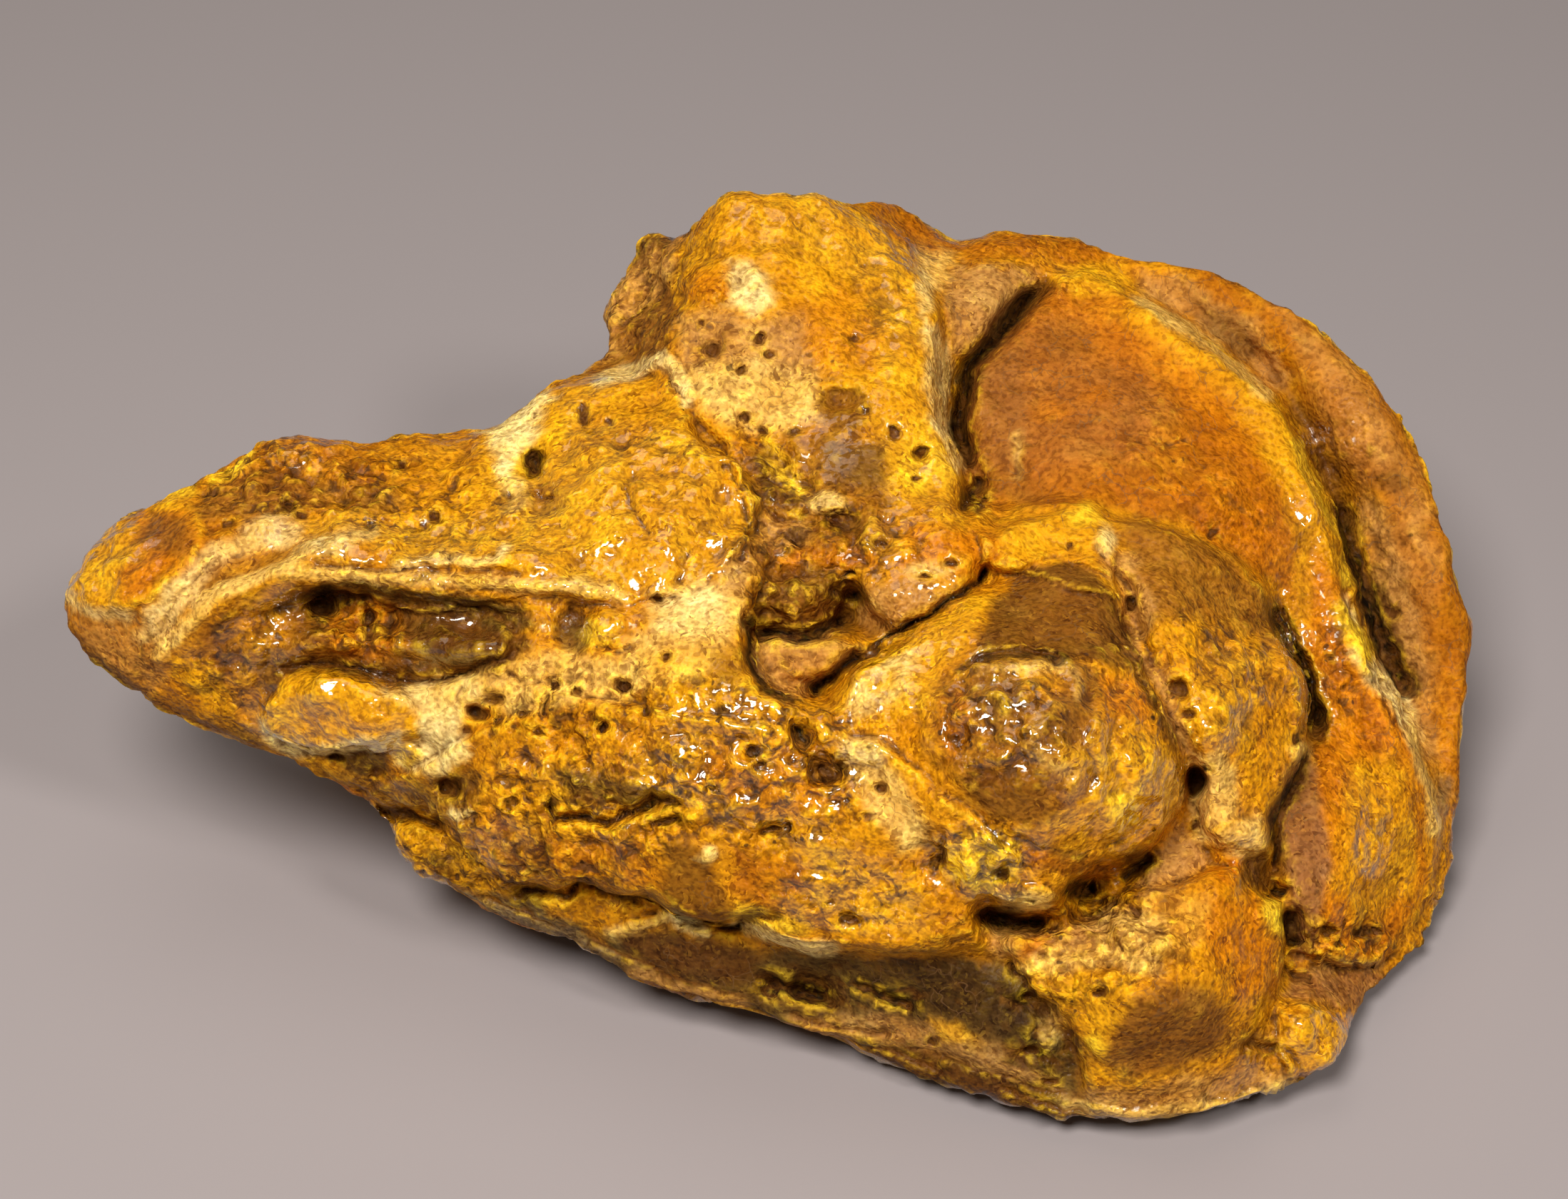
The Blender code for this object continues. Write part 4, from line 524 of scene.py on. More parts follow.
    Wash("lemon", [(-2, 13.6), (-0.6, 13), (2, 10), (1.8, 9), (0, 9.6), (-1.6, 11.4)], 0.35, 0.85),
    Wash("olive", [(3, 14), (9, 13.4), (9, 9), (4, 9.6)], 1.0, 0.6),
    Wash("tan", [(-2, 6.8), (2, 6.4), (2.6, 4.8), (-1.6, 4.8)], 0.7, 0.7),
    Wash("orange", [(-1, 4.2), (4, 4.4), (9, 4), (8.4, 2.6), (0, 2.8)], 0.6, 0.6),
    # partly the hollow's own dark brown, partly painted shade down in it
    Wash("umber", [(-2.6, 1.2), (0, 2.6), (4, 2.4), (7, 1), (7.6, -2.4), (5, -3), (1, -3.2), (-3, -2.6)], 0.5,
         0.8),
    Wash("brown", [(-1.6, 0.6), (2, 0.8), (4.6, -0.6), (3, -2.4), (-0.6, -2.4)], 0.5, 0.6),
    Wash("tan", [(-2.8, -3.4), (0, -3), (4, -3.2), (7, -4), (5, -6), (1.4, -8.2), (-0.6, -8), (-2.4, -6.4)],
         0.35, 0.8),
    # painted shade along the hollow's steep left wall
    Wash("umber", [(-2.8, -3.4), (-2, -3.2), (-1.2, -6), (0.4, -8.2), (-1.4, -7.6), (-2.8, -5.4)], 0.4, 0.7),
    Wash("tan", [(7, 1.2), (11, 1.4), (15, 0.6), (12, -1), (9, -3), (6.8, -3.2)], 0.5, 0.85),
    Wash("orange", [(9.6, 5.6), (14, 6.8), (17.8, 5.8), (18, 3), (15, 2), (10, 2.6)], 0.6, 0.75),
    Wash("cream", [(10, 2.4), (13.6, 3), (14.4, 2.2), (11.4, 1.4)], 0.4, 0.8),
    # the top plate
    Wash("gold", [(-9.4, 25), (-8, 31), (-4, 34.6), (4, 34.4), (9, 31), (12.6, 26), (13, 17), (15, 11), (14,
         8.6), (9, 9), (9, 14), (3, 19), (0, 24)], 0.9, 0.9),
    Wash("honey", [(-8.6, 26), (-7.6, 31), (-4, 34), (0, 33), (0.6, 28), (2, 24), (-3, 24.6)], 0.9, 0.7),
    Wash("orange", [(0, 25), (5, 27), (9, 24), (8, 19), (3, 19.4), (0, 22)], 1.4, 0.55),
    Wash("orange", [(-8.4, 26), (-7, 28), (-4.8, 27.8), (-4.8, 25.8), (-6.6, 24.8)], 0.5, 0.6),
    Wash("pale", [(-4.8, 28.6), (-3.4, 28.6), (-1.6, 27.4), (-0.4, 25.4), (-2.4, 24.6), (-4.6, 25)], 0.5,
         0.9),
    Wash("tan", [(-9.4, 24), (-7, 24.6), (-3, 24), (1.6, 24.4), (2, 21.6), (2.6, 19), (-1, 18), (-6, 18), (-9,
         20)], 0.7, 0.85),
    Wash("cream", [(-9, 19.6), (-5, 20), (-1, 20.4), (2.6, 18.6), (3, 15.4), (0, 14.2), (-3, 14.4), (-7.4,
         16)], 0.7, 0.8),
    Wash("umber", [(3, 17.8), (6.6, 18), (7.6, 16.2), (6, 14.4), (3, 14.8)], 0.5, 0.65),
    Wash("lemon", [(9.6, 13.4), (13.4, 13), (15, 10.6), (12, 9.4), (9.6, 10.4)], 0.8, 0.5),
    Wash("pale", [(11.2, 29.6), (12.8, 26.6), (12.2, 24), (13.4, 22.4), (14.2, 20), (14, 16), (14.8, 13), (16,
         11), (14.6, 11), (13, 14.4), (12.2, 18), (12, 21), (11.6, 24), (11.6, 27)], 0.35, 0.7),
    Wash("amber", [(6, 34), (9, 34), (14, 31.6), (15.6, 29.4), (11.6, 29.6), (8.6, 31.6)], 0.5, 0.85),
    Wash("cream", [(10.4, 29.8), (14, 29.6), (14.6, 26.8), (12.6, 26.2)], 0.5, 0.7),
    Wash("tan", [(14, 21), (13.4, 25.6), (15, 28.6), (20.6, 28.2), (22, 27), (18, 22.8), (16, 20.8)], 0.45,
         0.95),
    Wash("amber", [(14.6, 30), (18, 31.6), (24, 31.4), (28, 29.6), (26, 28.6), (20, 29), (15.6, 28.8)], 0.5,
         0.9),
    Wash("tan", [(-16, 20.4), (-15, 26), (-12.6, 30.6), (-8.4, 31.4), (-9.4, 27), (-12, 21.4)], 0.6, 0.8),
    Wash("brown", [(-15, 20.4), (-13.6, 24), (-9.6, 26), (-8.8, 24), (-10.6, 20.6)], 0.5, 0.85),
    Wash("umber", [(-14, 28.6), (-12.6, 31), (-9.4, 31.6), (-9.8, 30), (-12.4, 28.6)], 0.5, 0.8),
    # the dome and its bright crest
    Wash("amber", [(15.6, 8), (15.2, 19), (19, 23), (23, 27.4), (30, 26), (37, 21), (42, 14), (44.6, 6.4),
         (43, 0), (40, 2.6), (34, 6.4), (28, 8)], 0.5, 0.95),
    Wash("brown", [(15.6, 9), (15.4, 19), (18, 22.4), (20.6, 21), (21, 16), (20.4, 11), (22, 8.6), (17, 7.6)],
         1.2, 0.65),
    Wash("rose", [(15.8, 19), (19, 22.6), (24, 25), (30, 21), (33, 16), (30, 12), (22, 10), (16.4, 12)], 2.4,
         0.4),
    Wash("orange", [(23, 25.6), (29, 25.6), (36, 20.4), (41, 14), (42, 9), (38, 12), (32, 18), (25, 21)], 1.6,
         0.6),
    Wash("orange", [(32, 9), (38, 11), (43, 7), (42.6, 2), (38, 5)], 1.6, 0.6),
    Wash("gold", [(22.6, 27.8), (25, 28.6), (29, 28.2), (30, 26.4), (28, 25.4), (24.4, 26)], 0.5, 0.85),
    Wash("gold", [(29.5, 25.5), (33, 23.4), (36, 21.5), (39, 19), (41, 17), (43.5, 13), (45, 9), (46.4, 6.6),
         (47.5, 4.6), (48, 1), (48.6, -3), (46.6, -3), (46, 0), (45, 3), (43.4, 6), (42, 10), (40, 13.4), (38,
         16.6), (35, 19), (32, 21.4), (28, 24)], 1.2, 0.8),
    # the layer on the right and the valley behind it
    Wash("orange", [(45, 4), (48, 1), (49.6, -5), (52.6, -9), (54, -14), (54.4, -24), (51, -30.6), (45.6,
         -30), (45, -12), (44, -4)], 0.6, 0.9),
    Wash("gold", [(48.4, -14), (52, -13), (53.4, -18), (53, -25), (49, -28), (46.6, -24), (47.6, -18)], 1.2,
         0.65),
    Wash("pale", [(47.4, 0), (48.4, -0.4), (49, -3), (50.4, -5.6), (52, -7.4), (53.6, -9.2), (54.2, -13),
         (53.2, -13), (52, -9.6), (49.4, -7), (48, -4.6)], 0.4, 0.7),
    Wash("amber", [(44.4, -5), (46.2, -5.4), (46.6, -9), (46, -15), (44.4, -12)], 0.8, 0.8),
    Wash("rose", [(42.4, -13), (45, -13.6), (46.4, -20), (46, -26), (45, -30.4), (43.4, -31), (42.6, -26),
         (41.6, -20)], 0.4, 0.95),
    Wash("gold", [(51.4, -19), (53.4, -19.4), (53.6, -24.6), (51.8, -24.8), (50.8, -22)], 0.5, 0.85),
    Wash("tan", [(30, 27.6), (34, 27.4), (40, 23.6), (43, 19), (42, 17.4), (39.6, 19.6), (36.4, 22.4), (31,
         25.6)], 0.5, 0.85),
    Wash("olive", [(34.4, 25.4), (37, 24.6), (40, 21.4), (39.4, 19.8), (36.6, 22.4)], 0.8, 0.5),
    # partly the valley's own umber, partly painted shade where it sinks behind the crest
    Wash("umber", [(42, 18.6), (44.6, 16), (47.4, 11), (48.8, 6.4), (48.4, 4.4), (46.4, 7.4), (44, 13)], 0.8,
         0.75),
    Wash("rose", [(44, 19), (48, 15.6), (51, 11), (49, 9.4), (46, 14)], 1.0, 0.7),
    Wash("tan", [(49, 9), (53, 6), (54.6, 0), (55.6, -8), (53.4, -7.6), (51.4, -2), (49.4, 3)], 0.8, 0.7),
    Wash("tan", [(49.6, 8), (53, 3), (54.6, -6), (55.6, -14), (54.6, -14), (52.8, -8.6), (50.8, -2)], 0.6,
         0.8),
    Wash("amber", [(30, 31), (42, 27), (50, 20), (56, 10), (60, 0), (61, -12), (57.4, -22), (56, -14), (54.6,
         -4), (52.6, 4), (48.6, 12.6), (43.6, 20.6), (36, 26)], 0.9, 0.8),
    Wash("tan", [(41, 25.6), (48, 20), (53, 12), (55.6, 4), (55, -2), (53.4, 4), (49.4, 12.4), (44.6, 19.6)],
         1.2, 0.55),
    # partly the valley's own umber, partly painted shade in the deep valley beside the crest
    Wash("umber", [(48.8, 2), (50.4, 1.4), (51.8, -1.6), (53, -5), (53.2, -8.6), (51.8, -6.6), (50, -4.4),
         (49.2, -2)], 0.35, 0.9),
    Wash("grey", [(55, -14.6), (56.4, -15), (56.8, -18.6), (55.4, -18)], 0.4, 0.8),
    Wash("rose", [(43, -31.6), (50, -31.2), (51.4, -31.8), (49.4, -34.8), (45, -34.4), (42.4, -33.8)], 0.4,
         0.85),
    # the right lobe
    Wash("brown", [(28.4, 6.6), (33, 6), (38, 3.6), (41, 0), (42, -4), (39, -3), (35, -2), (31, -2)], 0.6,
         0.8),
    Wash("tan", [(27, 3.8), (29.6, 4), (30.6, 1), (31.6, -2), (30, -3.6), (28.6, -1.4), (28.4, 1.4)], 0.5,
         0.8),
    Wash("honey", [(31, -3), (36, -1.4), (40, -3), (43.6, -6), (44, -12), (42, -17), (38.6, -17.6), (35.6,
         -13), (33, -8)], 0.6, 0.85),
    Wash("gold", [(35.6, -5.6), (38.6, -4), (40.2, -8), (39.6, -12), (37, -13), (34.6, -10)], 0.8, 0.8),
    Wash("umber", [(36, -3.4), (37.4, -3.4), (37.6, -5), (36.2, -5.2)], 0.4, 0.6),
    Wash("cream", [(34.4, -13.4), (36.6, -12.8), (38.4, -14), (38.6, -17), (37.6, -19.4), (35.6, -20.6),
         (34.4, -18.6)], 0.35, 0.95),
    Wash("tan", [(29, -2.4), (30.2, -3.2), (32.6, -6.6), (34.4, -10.6), (35, -13.4), (33.8, -13), (31.8,
         -8.8), (29.8, -5)], 0.35, 0.85),
    Wash("cream", [(36.6, -20.4), (38.6, -18.6), (40.4, -18.4), (41.2, -20.4), (40, -21.6), (37.6, -21.6)],
         0.4, 0.85),
    Wash("tan", [(33, -18.8), (35, -19.8), (36, -22), (33.4, -25), (36.4, -25.6), (36, -29), (33.4, -30),
         (30.6, -27.6), (30, -24.6), (31.8, -21.4)], 0.5, 0.95),
    Wash("orange", [(37.8, -21.4), (38.8, -22), (38.6, -25), (35, -25), (34.6, -23.8), (36.4, -22.6)], 0.35,
         0.95),
    Wash("umber", [(38.8, -21.8), (41, -21.6), (41.8, -23.4), (41, -24.8), (39, -24.8)], 0.35, 0.9),
    # the boss: its bright flank, brown shoulder, dark wet middle and golden underside
    Wash("honey", [(4, -11), (5, -7), (12, -1.6), (18, 0.6), (29, -3), (34, -15), (32, -20.6), (24, -23.6),
         (20, -26.6), (14, -24), (8, -16)], 0.6, 0.8),
    Wash("umber", [(18.2, 0.3), (20, 2), (22.4, 3.3), (25, 3.3), (27, 1.8), (28.4, -0.5), (29.4, -3), (30.2,
         -5.4), (28, -5.6), (24, -5), (19, -4.8), (15.4, -5.8), (16.6, -3)], 0.4, 0.85),
    Wash("brown", [(20, 1), (24, 2), (27, 0), (28.6, -3), (24, -3.6), (20, -3)], 1.0, 0.5),
    Wash("gold", [(17.6, 0.6), (16.2, -2.4), (14.4, -5), (12.6, -6.8), (11.6, -9), (8, -11.6), (4.6, -11.4),
         (4.7, -8), (6.4, -5.8), (9, -4), (12.4, -2), (16, 0.2)], 0.35, 1.0),
    Wash("pale", [(6, -7.2), (8.6, -5.2), (10.6, -4.4), (11.8, -4.8), (10.6, -7), (8, -9.2), (6, -10.2), (5.2,
         -9)], 0.4, 0.5),
    Wash("gold", [(7, -7.4), (9, -6), (9.6, -6.6), (8, -8.2)], 0.35, 0.9),
    Wash("brown", [(12.8, -9), (13.4, -6.8), (16.6, -5.6), (22, -4.9), (25.5, -5.4), (27, -7.6), (26.4, -11),
         (27, -14.6), (25.4, -17.6), (21.6, -19.2), (17.4, -18.4), (14.6, -15.4), (12.8, -12)], 0.9, 0.75),
    Wash("umber", [(15.6, -14), (19, -14.4), (23, -15.6), (22.4, -18), (20, -19), (16.6, -17.4), (15, -15.6)],
         0.7, 0.45),
    Wash("umber", [(16.4, -6.6), (20, -6.8), (20.4, -9), (18, -11.4), (16, -10), (15.8, -8)], 0.9, 0.5),
    Wash("umber", [(21.4, -10), (23.4, -9.4), (25.6, -9), (25, -12), (22.6, -13), (21.4, -12)], 0.7, 0.5),
    Wash("honey", [(20, -5.8), (23.4, -5.6), (24, -7.4), (22, -8.4), (20.2, -7.6)], 0.6, 0.8),
    Wash("orange", [(13, -8), (15.4, -7.4), (16, -11), (14.4, -13.6), (13, -12)], 0.6, 0.6),
    Wash("orange", [(27, -6.4), (30, -6.6), (31.4, -9.4), (29.6, -10.4), (27.4, -9.6)], 0.5, 0.85),
    Wash("gold", [(26.6, -11), (30, -10.6), (32.6, -12.6), (33.6, -16), (32.4, -19.4), (28, -20.6), (23.4,
         -19.4), (24.6, -17.4), (27.4, -15.4)], 0.6, 0.75),
    Wash("gold", [(22.6, -12.6), (26, -12.4), (26.4, -14.6), (24, -15.6)], 0.6, 0.6),
    Wash("honey", [(20.6, -19.4), (26, -19.4), (31.6, -19.8), (32.4, -18.4), (33, -20), (27, -21.6), (21.4,
         -21)], 0.4, 0.9),
    Wash("lemon", [(27.3, -16), (29.9, -16.4), (30, -19), (27.6, -19.4)], 0.4, 0.8),
    Wash("cream", [(4.8, -12), (7.6, -12.6), (9.4, -15), (12, -18.6), (13, -21), (10.6, -21.6), (7.6, -18.6),
         (5.6, -15.6)], 0.6, 0.85),
    Wash("lemon", [(14, -20.4), (18, -19.4), (20.4, -20.6), (20, -23), (17.4, -25), (14.6, -24), (13.6, -22)],
         0.5, 0.75),
    # painted shade: the amber band under the boss's lower rim
    Wash("amber", [(20.4, -20.8), (26, -21.8), (28.6, -22.4), (25.4, -23.4), (21.4, -23.4)], 0.4, 0.85),
    Wash("cream", [(17.4, -24.8), (21, -24.6), (22.8, -25), (23, -26.4), (21, -27), (18.6, -26.2)], 0.3, 0.9),
    # the shoulder over it
    Wash("gold", [(17.6, 4.6), (20, 6.2), (23.6, 7.8), (26.2, 8), (27.6, 6), (28, 4), (23, 4.2), (19, 2.6)],
         0.4, 0.85),
    Wash("lemon", [(23.4, 7.4), (25.6, 7.8), (27, 6.4), (25, 6)], 0.4, 0.7),
    # the lower mass on the right
    Wash("honey", [(20, -28), (30, -25.4), (36, -23), (42, -26), (42.4, -33), (44, -41.6), (26, -43.4), (25,
         -38)], 0.8, 0.7),
    Wash("tan", [(17, -27.6), (24, -28), (28.6, -25.6), (27, -29), (22, -30.6), (18, -30)], 0.6, 0.8),
    Wash("cream", [(27, -26.4), (31, -26), (32.8, -29), (31.6, -32), (27, -31), (22, -32), (19, -31.4), (22,
         -29.8), (26, -29.6)], 0.6, 0.8),
    Wash("orange", [(19, -28.6), (22.6, -28.4), (22.4, -30), (19.6, -30.2)], 0.4, 0.8),
    Wash("gold", [(20.6, -31.8), (26, -31.4), (29.6, -33), (28.4, -36), (25.6, -36.4), (22, -33.6)], 0.6,
         0.75),
    Wash("brown", [(28, -36.6), (29.4, -34.2), (31, -32.8), (34, -32.4), (36.4, -33.4), (37.6, -35), (38,
         -37), (36, -38.8), (33, -40), (29, -40.6), (27, -39)], 0.6, 0.95),
    Wash("orange", [(36, -25.8), (40, -25.4), (42, -29), (41.6, -33), (39, -34), (36.6, -31), (35.4, -28)],
         0.6, 0.75),
    Wash("lemon", [(40.2, -25.2), (42.2, -25.8), (42.6, -28.6), (41.4, -28.4)], 0.3, 0.85),
    Wash("brown", [(38, -36.8), (42, -36.4), (43.4, -38.6), (40, -39), (37.6, -38.2)], 0.5, 0.7),
    Wash("gold", [(42.4, -35.2), (46.2, -35.4), (48, -37), (46.6, -39.6), (43.4, -40.2), (42.6, -38)], 0.4,
         0.85),
    Wash("tan", [(24, -42), (32, -41), (40, -39.6), (44.6, -40.6), (38, -43.4), (28, -44)], 0.7, 0.7),
]

STROKES = [
    Stroke("pale", [(-61, 1.2), (-60.2, -0.4), (-58, -1.1), (-55.4, -1.5)], 0.4, 0.6),
    # partly the rim's own brown, partly painted shade along the snout's lower rim, which faces down
    Stroke("umber", [(-60.6, -3.4), (-57.4, -6.6), (-53.6, -8.8), (-49.6, -10.7), (-45, -12.2)], 0.9, 0.75),
    Stroke("cream", [(-53, -4.4), (-51, -2.8), (-48.6, 0.2), (-45.6, 1.6), (-43, 2.6), (-41, 3.8), (-38, 5.2),
         (-35, 5.8)], 0.6, 0.9),
    Stroke("cream", [(-42, 2.6), (-38, 2.2), (-35, 2), (-32, 1.8), (-29, 1.7), (-25, 1.4), (-20, 1), (-17,
         1.2), (-14, 0.3)], 0.6, 0.85),
    Stroke("pale", [(-33, 2.7), (-30, 3.4), (-28, 3.5), (-26, 3), (-24.4, 3.6), (-23.6, 4.6)], 0.45, 0.8),
    Stroke("pale", [(-44.2, -10.6), (-43.2, -12.2), (-41, -12.9), (-38.4, -12.9), (-36, -12.2), (-33, -11.9)],
         0.5, 0.9),
    Stroke("pale", [(-27, -18.4), (-28.4, -18.3)], 0.4, 0.95),
    Stroke("lemon", [(-50.6, 9.5), (-52.6, 9.2)], 0.7, 0.9),
    Stroke("lemon", [(-45.4, 12.2), (-47, 11.3), (-48.6, 10.8)], 0.6, 0.8),
    Stroke("pale", [(-15.6, 18.5), (-12, 19.6), (-10.4, 20.6), (-9, 19), (-8.2, 17)], 0.6, 0.85),
    Stroke("pale", [(-9.8, -26.7), (-8.4, -27.4), (-6.8, -28.3)], 0.5, 0.9),
    Stroke("cream", [(-14.6, -28.2), (-12.4, -27.8), (-10, -27)], 0.4, 0.85),
    Stroke("pale", [(-3.8, -27.6), (-2, -28.2), (0.6, -29.1), (4, -29.8)], 0.55, 0.85),
    Stroke("lemon", [(-3.6, -26.8), (-1, -27.4), (1.6, -27.6)], 0.7, 0.6),
    # painted shade down the crevice right of the lobe
    Stroke("umber", [(41.4, -0.6), (42.8, -3.4), (44.6, -7), (45.2, -11)], 0.9, 0.85),
    # painted shade down the crevice between the top plate and the dome
    Stroke("umber", [(14.8, 13), (15.3, 17), (16.4, 20.4), (19, 23.4), (22, 26.4)], 0.8, 0.75),
    # partly a dark red crease, partly painted shade under the boss's overhanging shoulder
    Stroke("dark", [(15, -6), (16.6, -4.9), (19, -4.6), (22, -4.7), (24, -5.2)], 0.45, 0.9),
    # the two cream strokes on the boss: partly whitish crust, partly a painted highlight along its wet crescent
    # ridge
    Stroke("cream", [(16.6, -6.2), (20, -5.9), (23.4, -5.6), (24.8, -6.4), (25.2, -8)], 0.4, 0.45),
    Stroke("cream", [(21.6, -10), (20.9, -12.2), (22.2, -13.9), (24.3, -14.7)], 0.5, 0.4),
    # painted shade: a dark line in the shaded band under the boss's lower rim
    Stroke("umber", [(20.6, -20.7), (23, -21.2), (25.6, -21.9)], 0.4, 0.7),
    Stroke("umber", [(28.6, -2.2), (29.6, -5), (31.2, -8.6), (33.2, -12.6)], 0.4, 0.7),
    Stroke("cream", [(24, -42.8), (30, -43.6), (38, -42.7), (43, -41)], 0.6, 0.7),
    Stroke("cream", [(19.7, 14), (19.9, 10.6)], 0.4, 0.6),
    Stroke("tan", [(50.6, -31), (47, -31), (45, -31.3)], 0.5, 0.7),
    Stroke("cream", [(30, 25.6), (33, 23.6), (36, 21.7), (39, 19.2), (41, 17.2)], 0.45, 0.7),
    Stroke("lemon", [(43.4, 13.2), (45, 9.2), (46.4, 6.8), (47.6, 4.8), (48, 1.4)], 0.4, 0.6),
    Stroke("lemon", [(47.4, -1), (48, -2.4), (49.2, -4), (49.4, -5.4)], 0.8, 1.0),
    Stroke("pale", [(50, -5.8), (51.2, -6.6), (52.4, -8.2), (53.2, -10)], 0.6, 0.9),
    Stroke("cream", [(53.2, -10), (53.6, -13), (54.6, -16), (55.2, -19.6)], 0.5, 0.8),
    # painted shade in the valley behind the dome's crest
    Stroke("dark", [(49.4, 0), (50.4, -3), (51.6, -5.4), (53, -7.4)], 0.9, 0.8),
]

DABS = [
    # painted shade: black and dark in the hole and the pit at these two places
    Dab("black", -38.9, 0.2, 1.1, 1.2, 0.95), Dab("dark", -42, 8, 0.9, 0.6, 0.7),
    # the first dab is painted shade in a slit
    Dab("dark", -21.3, 11.6, 0.8, 1.3, 0.85), Dab("brown", -20.2, 8.6, 1.7, 1.1, 0.7),
    Dab("lemon", -15.6, -3, 1.3, 1.0, 0.7), Dab("lemon", -32, -13.2, 1.0, 0.9, 0.95),
    Dab("brown", -34.4, 8.9, 2.0, 0.7, 0.6), Dab("pale", -38.6, 4.6, 1.6, 0.8, 0.6),
    # the umber dab is painted shade in a pit; the pale dab is a painted highlight
    Dab("umber", 5, 6.7, 1.8, 0.9, 0.8), Dab("pale", 3.6, 8.2, 1.4, 0.8, 0.7),
    Dab("pale", 27.3, 4.8, 0.7, 1.2, 0.85), Dab("pale", -6.3, -21.6, 0.7, 0.6, 0.95),
    # the dark dab is painted shade in a cavity
    Dab("cream", 43.9, -13, 0.9, 0.9, 0.8), Dab("dark", 25.2, -24.6, 1.6, 0.8, 0.9),
    # both dabs are painted shade in cavities
    Dab("black", 18.2, -26.6, 1.9, 0.8, 0.9), Dab("dark", 30.2, -22.2, 1.5, 1.0, 0.8),
    Dab("umber", 51.4, 10, 1.6, 0.9, 0.5), Dab("umber", 51.5, -1, 0.8, 0.7, 0.5),
    Dab("amber", 46.1, -28.2, 1.1, 0.5, 0.8), Dab("amber", 49.5, -28.2, 1.4, 0.6, 0.8),
    # the dark dab is painted shade in a hollow
    Dab("dark", -10.2, -18.8, 1.7, 0.5, 0.85), Dab("umber", 3.2, -14.2, 1.4, 1.2, 0.6),
    # the pale dab is partly cream crust, partly a painted highlight
    Dab("pale", 6.6, -12.8, 1.6, 1.0, 0.6), Dab("umber", 13.2, -21.6, 0.6, 1.3, 0.7),
    # both dabs are painted shade: among pits, and at the end of a crevice
    Dab("umber", -35, -2.2, 0.9, 1.0, 0.7), Dab("dark", 15.8, 8.6, 1.2, 1.2, 0.6),
    Dab("orange", 22.4, 16, 1.6, 0.9, 0.5), Dab("orange", 26.4, 17.4, 1.2, 0.8, 0.5),
    Dab("orange", 18.4, 8, 1.2, 0.7, 0.5), Dab("brown", 24, 22, 2.6, 1.4, 0.4),
    Dab("lemon", 26.4, -37.6, 1.0, 0.8, 0.6), Dab("brown", 20, -38, 1.4, 0.7, 0.7),
    Dab("cream", 22.6, -36.2, 0.8, 1.4, 0.6), Dab("lemon", 41.6, -27, 0.8, 1.4, 0.5),
]

# Where the skin is glossy (1), chalky crust (-1) or between.
GLOSS = [
    Patch(-57, 3.5, 5, 4.5, 0.8), Patch(-37.5, -9.5, 7.5, 3.4, 1.0), Patch(-29, -4, 5.6, 2.4, 1.0),
    Patch(-14, 7, 9, 8, 0.8), Patch(-32, -13.2, 1.2, 1.0, 1.0), Patch(23.6, -8, 3.4, 3, 1.0),
    Patch(24, -12, 4, 4, 1.0), Patch(15, -9.4, 2.6, 3.4, 0.8), Patch(30, -10, 3, 3, 0.8),
    Patch(29, -16, 5, 4, 0.8), Patch(18.6, -6.6, 3, 1.2, 0.8), Patch(20, -11, 6, 5, 0.7),
    Patch(10, -6, 6, 4, 0.4), Patch(-2, -14, 9, 6, 0.7), Patch(49.8, -19.5, 1.8, 3.6, 1.0),
    Patch(53, -20, 1.6, 7, -0.6), Patch(50, -10, 3, 4, -0.5), Patch(51, -27, 3, 3, -0.4),
    Patch(44, -22, 1.6, 9, -1.0), Patch(45, -37, 3, 3, 0.8), Patch(37, -7, 3, 5, 0.7),
    Patch(42, -6, 2, 3, 0.7), Patch(17, -22, 5, 3, 0.8), Patch(7, -12.8, 2.4, 1.4, 0.9),
    Patch(25, 6, 3, 2, 0.6), Patch(-34, 5, 8, 2, 0.6), Patch(-44, -2, 4, 4, 0.5), Patch(5, 29, 6, 5, 0.2),
    Patch(5, -24, 6, 4, 0.5), Patch(-17, -3, 3, 2, 0.7), Patch(-29, -11, 3.6, 4.6, -1.0),
    Patch(-20, -6, 10, 3, -0.8), Patch(-5, 19, 6, 5, -0.8), Patch(33, -25, 3.4, 6, -1.0),
    Patch(24, -1, 6, 4, -0.8), Patch(32, -8, 2, 6, -0.8), Patch(44, -22, 1.8, 9, -0.9),
    Patch(10, -35, 18, 5, -0.7), Patch(-12, -30, 16, 4, -0.8), Patch(-7, -24, 3.4, 3.4, -0.9),
    Patch(33, -36, 5, 4, -0.8), Patch(52, 2, 4, 16, -0.6), Patch(1, -4, 5, 5, -0.8),
    Patch(17, 25, 4, 4, -0.9), Patch(18.6, -16.6, 4, 2.4, -0.8), Patch(36.4, -16.6, 2, 3.4, -1.0),
    Patch(-49, 2, 5, 4, -0.7), Patch(-58, -2, 4, 2.4, -1.0), Patch(-38, -14, 6, 1.6, -0.9),
    Patch(-8, -1, 3, 3, -0.6), Patch(-22, 14, 3, 3, -0.8),
    Patch(46, -33, 4, 1.6, -0.8), Patch(-12, 26, 4, 6, -0.6), Patch(28, -29, 4, 3, -0.4),
    Patch(39, -29, 4, 4, -0.4), Patch(27, 14, 11, 10, -1.1), Patch(44, 24, 14, 7, -1.0),
    Patch(55, 6, 6, 18, -1.0), Patch(36, 26, 10, 5, -0.8), Patch(9, -18, 3, 3, -0.5),
    Patch(-42, 9, 6, 2, -0.4),
]

